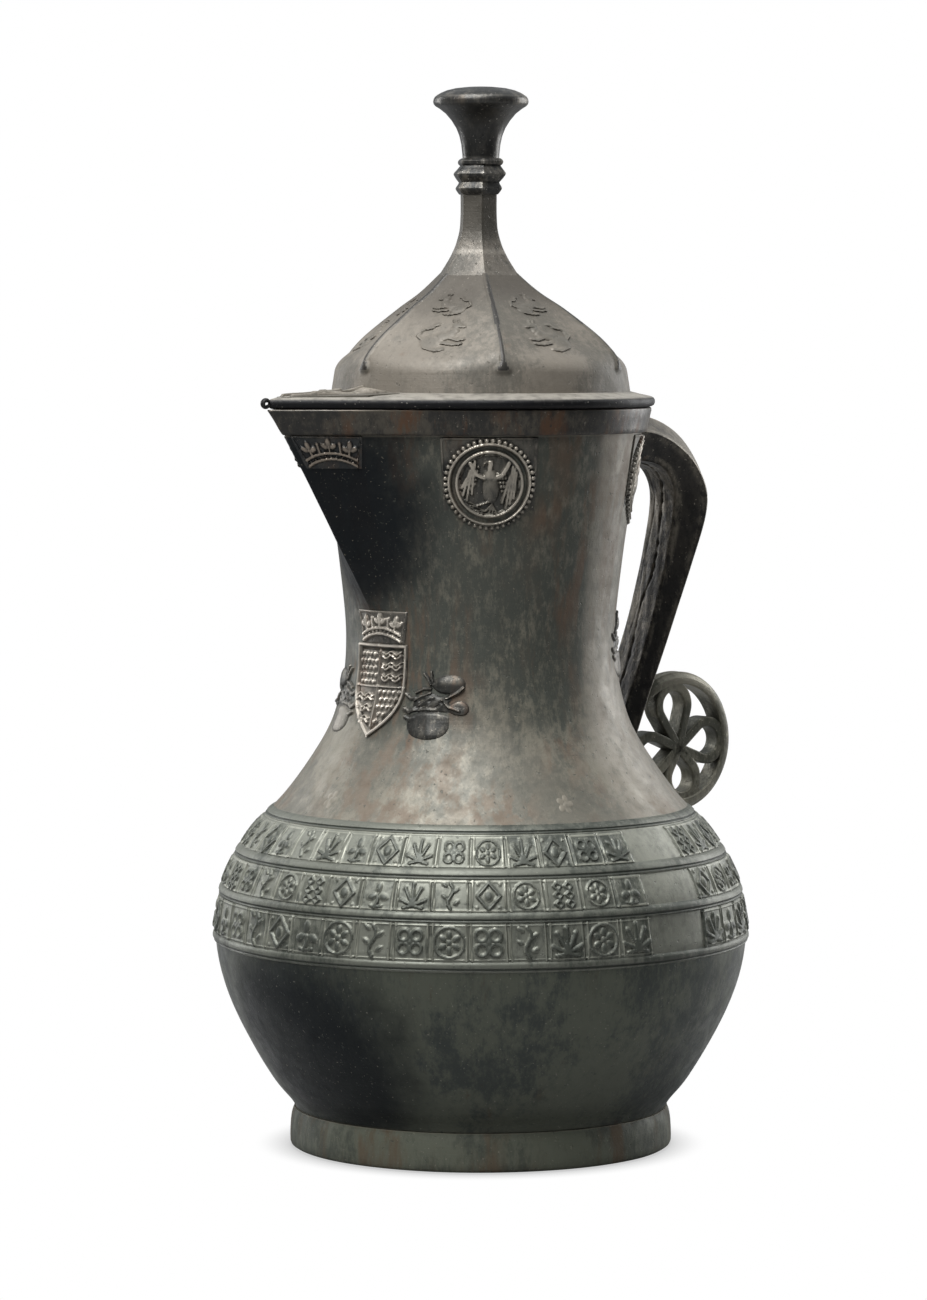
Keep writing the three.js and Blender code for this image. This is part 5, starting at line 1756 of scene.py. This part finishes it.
    def dome_skin(self, angles: Array, zs: Array, inset: float) -> Array:
        """Returns the dome's radii, rows by angles, an inset under its outside."""
        roundness = 1 - smoothstep(zs, self.dome_foot + 14, self.dome_foot + 34)[:, None]
        return self.section(angles[None, :], self.dome_radius(zs)[:, None] - inset, roundness)

    def dome(self) -> None:
        """Makes the dome: a round foot, six facets with two beasts each, and ribs that end in small feet."""
        per_facet, bend = 84, self.dome_foot + 20
        angles = np.linspace(0, TAU, per_facet * self.facets, endpoint=False)
        zs = np.concatenate([np.linspace(self.dome_foot - 0.25, bend, 18)[:-1],
                             np.linspace(bend, self.dome_top, 120)])
        skin = self.dome_skin(angles, zs, 0.0)
        slope = np.concatenate([[0], np.cumsum(np.hypot(np.diff(zs), np.diff(self.dome_radius(zs))))])
        turns = np.mod(angles, self.sixth)
        height = np.zeros_like(skin)
        across = (turns - self.sixth / 2)[None, :] * skin
        start = float(np.interp(self.dome_foot + self.rib_foot, zs, slope))
        up = (slope - start)[:, None] + 0 * across
        full = slope[-1] - start
        for facet in range(self.facets):
            part = slice(facet * per_facet, (facet + 1) * per_facet)
            carving = Carving(across[:, part], up[:, part], 0.0)
            facing = 1 if facet % 2 else -1
            carving.beast(0, 0.29 * full, 0.18 * full, facing, 1.9)
            carving.beast(0, 0.64 * full, 0.14 * full, -facing, 1.7)
            height[:, part] = carving.height
        edge = np.minimum(turns, self.sixth - turns)[None, :] * skin
        rises = (zs - self.dome_foot - self.rib_foot)[:, None]
        wide = 1.7 + 3.0 * np.exp(-((rises / 3.5) ** 2))
        fade = 1 - 0.9 * smoothstep(zs, self.dome_top - 22, self.dome_top)[:, None]
        rib = self.rib * np.sqrt(np.clip(1 - (edge / wide) ** 2, 0, 1)) * smoothstep(rises, -3.5, 0.5) * fade
        height = np.maximum(height, rib)
        inner_zs = np.linspace(self.dome_top - 8, self.dome_foot - 0.25, 14)
        maker = MeshMaker()
        # The beasts and the ribs are darkened the higher they stand, as painted shade.
        outer = maker.add_points(self.leaned(ring_rows(angles, skin + height, zs)),
                                 np.clip(0.46 - 0.17 * height - rib, 0, 1))
        inside = self.dome_skin(angles, inner_zs, self.wall)
        within = maker.add_points(ring_rows(angles, inside, inner_zs), 0.2)
        for rows in (outer, within, np.stack([within[-1], outer[0]])):
            maker.sew(rows, wrap_cols=True)
        maker.close(outer[-1])
        maker.close(within[0][::-1])
        dome = maker.make("dome", Body.LID, LID_FINISH, ["lid_dome"], wavy=False)
        # The ribs and their feet take the darker finish: a dark line and painted shade.
        dome.data.materials.append(RIB_LINE_AND_SHADE_FINISH.material())
        for face in dome.data.polygons:
            face.material_index = int(self.on_rib(*(face.center / MM)))

    def on_rib(self, x: float, y: float, z: float) -> bool:
        """Says whether a point of the dome's skin is on a rib or its foot."""
        turn = math.atan2(y, x) % self.sixth
        near = min(turn, self.sixth - turn) * math.hypot(x, y)
        rise = z - self.dome_foot - self.rib_foot
        return rise > -0.6 and near < 1.2 + 2.6 * math.exp(-((rise / 3.2) ** 2))

    def leaned(self, points: Array) -> Array:
        """Moves points of the lid's top as its casting leans: a little off the axis round the stem."""
        z, knop = points[..., 2], foot_of("stem_knop")
        lean = self.lean * smoothstep(z, self.dome_top - 26, self.dome_top)
        lean = lean * (1 - smoothstep(z, knop, knop + 24))
        return points + lean[..., None] * np.array([-0.78, 0.62, 0.0])

    def faceted(self, name: str, profile: Line, node: str, finish: BrassFinish,
                wear: Array | float = 0.55) -> None:
        """Makes a six-sided piece.

        Args:
            name: The piece's name.
            profile: Its side, as (corner radius, z).
            node: Node of the construction that it stands for.
            finish: Its finish.
            wear: How pale it is, 0 to 1, one or one a row: how far it stands up from its ground, with
                painted highlights where a piece adds them.
        """
        angles = np.linspace(0, TAU, 12 * self.facets, endpoint=False)
        points = np.array(profile, float)
        radii = self.section(angles[None, :], points[:, :1], 0.0)
        maker = MeshMaker().tube(self.leaned(ring_rows(angles, radii, points[:, 1])), wear)
        maker.make(name, Body.LID, finish, [node], wavy=False, crease=28.0)

    def finial(self) -> None:
        """Makes the tapering stem, the three-tiered knop and the button on top."""
        foot, top = foot_of("lid_stem"), top_of("lid_stem")
        taper = curve_through([*((foot + rise, r) for rise, r in self.stem), (top, self.stem[-1][1])])
        zs = np.linspace(foot - self.overlap, top + 0.2, 60)
        # A pale band a little above the stem's foot, partly wear and partly a painted highlight, darker
        # again towards the knop.
        worn = (0.3 + 0.42 * smoothstep(zs, foot + 5, foot + 12)
                - 0.56 * smoothstep(zs, foot + 12.5, foot + 21))
        self.faceted("stem", [(float(taper(z)), z) for z in zs], "lid_stem", STEM_FINISH, worn[:, None])
        foot, top = foot_of("stem_knop"), top_of("stem_knop")
        tiers = [*((r, foot + rise) for r, rise in self.tiers), (13.8, top - 0.6), (12.6, top + 0.2)]
        self.faceted("knop", tiers, "stem_knop", FINIAL_FINISH)
        foot, top = foot_of("finial_button"), top_of("finial_button")
        edge = [(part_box("finial_button")[1].x / MM, foot + 32.8), (27.7, foot + 34.4), (26.9, foot + 35.8)]
        cup = [*((r, foot + rise) for r, rise in self.cup), *edge,
               *((r, top - under) for r, under in self.lip)]
        wear = np.array([0.12] * 8 + [0.2, 0.3, 0.5, 0.62, 0.7, 0.62, 0.4, 0.15, 0.08, 0.06, 0.06])
        maker = MeshMaker().tube(turned_rows(cup, 72), wear[:, None])
        maker.make("button", Body.LID, FINIAL_FINISH, ["finial_button"], wavy=False)

    def build(self) -> None:
        """Makes all the pieces; the seat ring inside keeps its own solid."""
        for make in (self.flange, self.tongue, self.curl, self.dome, self.finial):
            make()
        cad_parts["lid_seat_ring"].material_slots[0].material = LID_FINISH.material()


@dataclass
class Stage:
    """The white surround, the soft studio lights and the camera.

    Attributes:
        eye: The camera's place in metres.
        lens: Focal length in millimetres on a 36 mm frame.
        aim: The point in the middle of the frame.
        right: Unit direction to the photo's right.
        away: Unit direction from the ewer to the camera.
        middle: The point that the lights face.
        lights: Name, place to the right, towards the camera and up, size and watts of each light.
        floor_half: Half of the floor's side in metres.
        floor_drop: How far the floor lies under the ewer.
        shadow: Width of the shadow at the foot.
    """

    eye: Vector = field(default_factory=lambda: Vector((-1.8083, -2.2674, 0.489)))
    lens: float = 136.38
    aim: Vector = field(default_factory=lambda: Vector((-0.0079, 0.0064, 0.2923)))
    right: Vector = field(default_factory=lambda: Vector((0.7826, -0.6225, 0.0)))
    away: Vector = field(default_factory=lambda: Vector((-0.6225, -0.7826, 0.0)))
    middle: Vector = field(default_factory=lambda: Vector((0, 0, 0.3)))
    lights: tuple[tuple[str, float, float, float, Point, float], ...] = (
        ("right strip", 1.36, -0.95, 0.7, (0.85, 1.3), 18),
        ("left strip", -1.25, -0.9, 0.7, (0.4, 1.3), 9.8),
        ("top", -0.55, 0.85, 2.1, (1.1, 1.9), 81),
    )
    floor_half: float = 3.0
    floor_drop: float = 0.0005
    shadow: float = 0.022

    def camera(self) -> None:
        """Sets up the camera of the photo's view."""
        data = bpy.data.cameras.new("photo view")
        data.lens = self.lens
        data.sensor_width = 36.0
        data.sensor_fit = "AUTO"
        data.clip_end = 50.0
        camera = bpy.data.objects.new("photo view", data)
        camera.location = self.eye
        camera.rotation_euler = (self.aim - self.eye).to_track_quat("-Z", "Y").to_euler()
        bpy.context.scene.collection.objects.link(camera)
        bpy.context.scene.camera = camera

    def light(self, name: str, place: Vector, size: Point, watts: float) -> None:
        """Adds a soft rectangular light.

        Args:
            name: The light's name.
            place: Its middle in metres.
            size: Width and height in metres.
            watts: Its power.
        """
        data = bpy.data.lights.new(name, "AREA")
        data.shape = "RECTANGLE"
        data.size, data.size_y = size
        data.energy = watts
        light = bpy.data.objects.new(name, data)
        light.location = place
        light.rotation_euler = (self.middle - place).to_track_quat("-Z", "Y").to_euler()
        bpy.context.scene.collection.objects.link(light)

    def world(self) -> None:
        """Makes the surround: white to the camera, and for the metal a studio bright behind and overhead."""
        world = bpy.data.worlds.new("studio")
        bpy.context.scene.world = world
        world.use_nodes = True
        world.node_tree.nodes.clear()
        wiring = Wiring(world.node_tree)
        sky = wiring.node("ShaderNodeTexCoord").outputs["Generated"]
        toward = wiring.node("ShaderNodeVectorMath", {0: sky, 1: self.away}, operation="DOT_PRODUCT")
        up = wiring.node("ShaderNodeSeparateXYZ", {0: sky}).outputs["Z"]
        behind = wiring.ramp(toward.outputs["Value"], -0.85, 0.0, (0.28, 0.015), "LINEAR")
        overhead = wiring.ramp(up, 0.3, 0.95, (0.0, 0.8), "LINEAR")
        lit = wiring.node("ShaderNodeBackground", {"Color": (0.93, 0.97, 1.0, 1),
                                                   "Strength": wiring.maths("ADD", behind, overhead)})
        seen = wiring.node("ShaderNodeBackground", {"Color": (1, 1, 1, 1)})
        wiring.node("ShaderNodeOutputWorld", {"Surface": wiring.for_camera(lit.outputs[0], seen.outputs[0])})

    def floor(self) -> None:
        """Makes the white floor, which shows no more than a faint shadow at the foot."""
        mesh = bpy.data.meshes.new("floor")
        size = self.floor_half
        mesh.from_pydata([(-size, -size, 0), (size, -size, 0), (size, size, 0), (-size, size, 0)], [],
                         [(0, 1, 2, 3)])
        material = bpy.data.materials.new("white_floor")
        material.use_nodes = True
        wiring = Wiring(material.node_tree)
        matt = material.node_tree.nodes["Principled BSDF"]
        wiring.feed(matt, {"Base Color": (0.3, 0.3, 0.3, 1), "Roughness": 0.9})
        covered = wiring.node("ShaderNodeAmbientOcclusion", {"Distance": self.shadow}).outputs["AO"]
        shadow = wiring.ramp(covered, 0.45, 0.97, (0.6, 1.0), "LINEAR")
        glow = wiring.node("ShaderNodeEmission", {"Color": (1, 1, 1, 1), "Strength": shadow})
        surface = wiring.for_camera(matt.outputs[0], glow.outputs[0])
        wiring.feed(material.node_tree.nodes["Material Output"], {"Surface": surface})
        mesh.materials.append(material)
        floor = bpy.data.objects.new("floor", mesh)
        floor.location.z = -self.floor_drop
        bpy.context.scene.collection.objects.link(floor)

    def build(self) -> None:
        """Sets the whole stage."""
        self.world()
        self.floor()
        for name, aside, near, z, size, watts in self.lights:
            self.light(name, self.right * aside + self.away * near + Vector((0, 0, z)), size, watts)
        self.camera()
        bpy.context.scene.view_settings.view_transform = "Standard"


def main() -> None:
    """Builds the ewer's looks over its construction."""
    logging.basicConfig(level=logging.INFO, format="%(message)s")
    for builder in (Vessel(), Bands(), Devices(), Handle(), Lid(), Stage()):
        LOG.info("building %s", type(builder).__name__)
        builder.build()


if __name__ == "__main__":
    main()
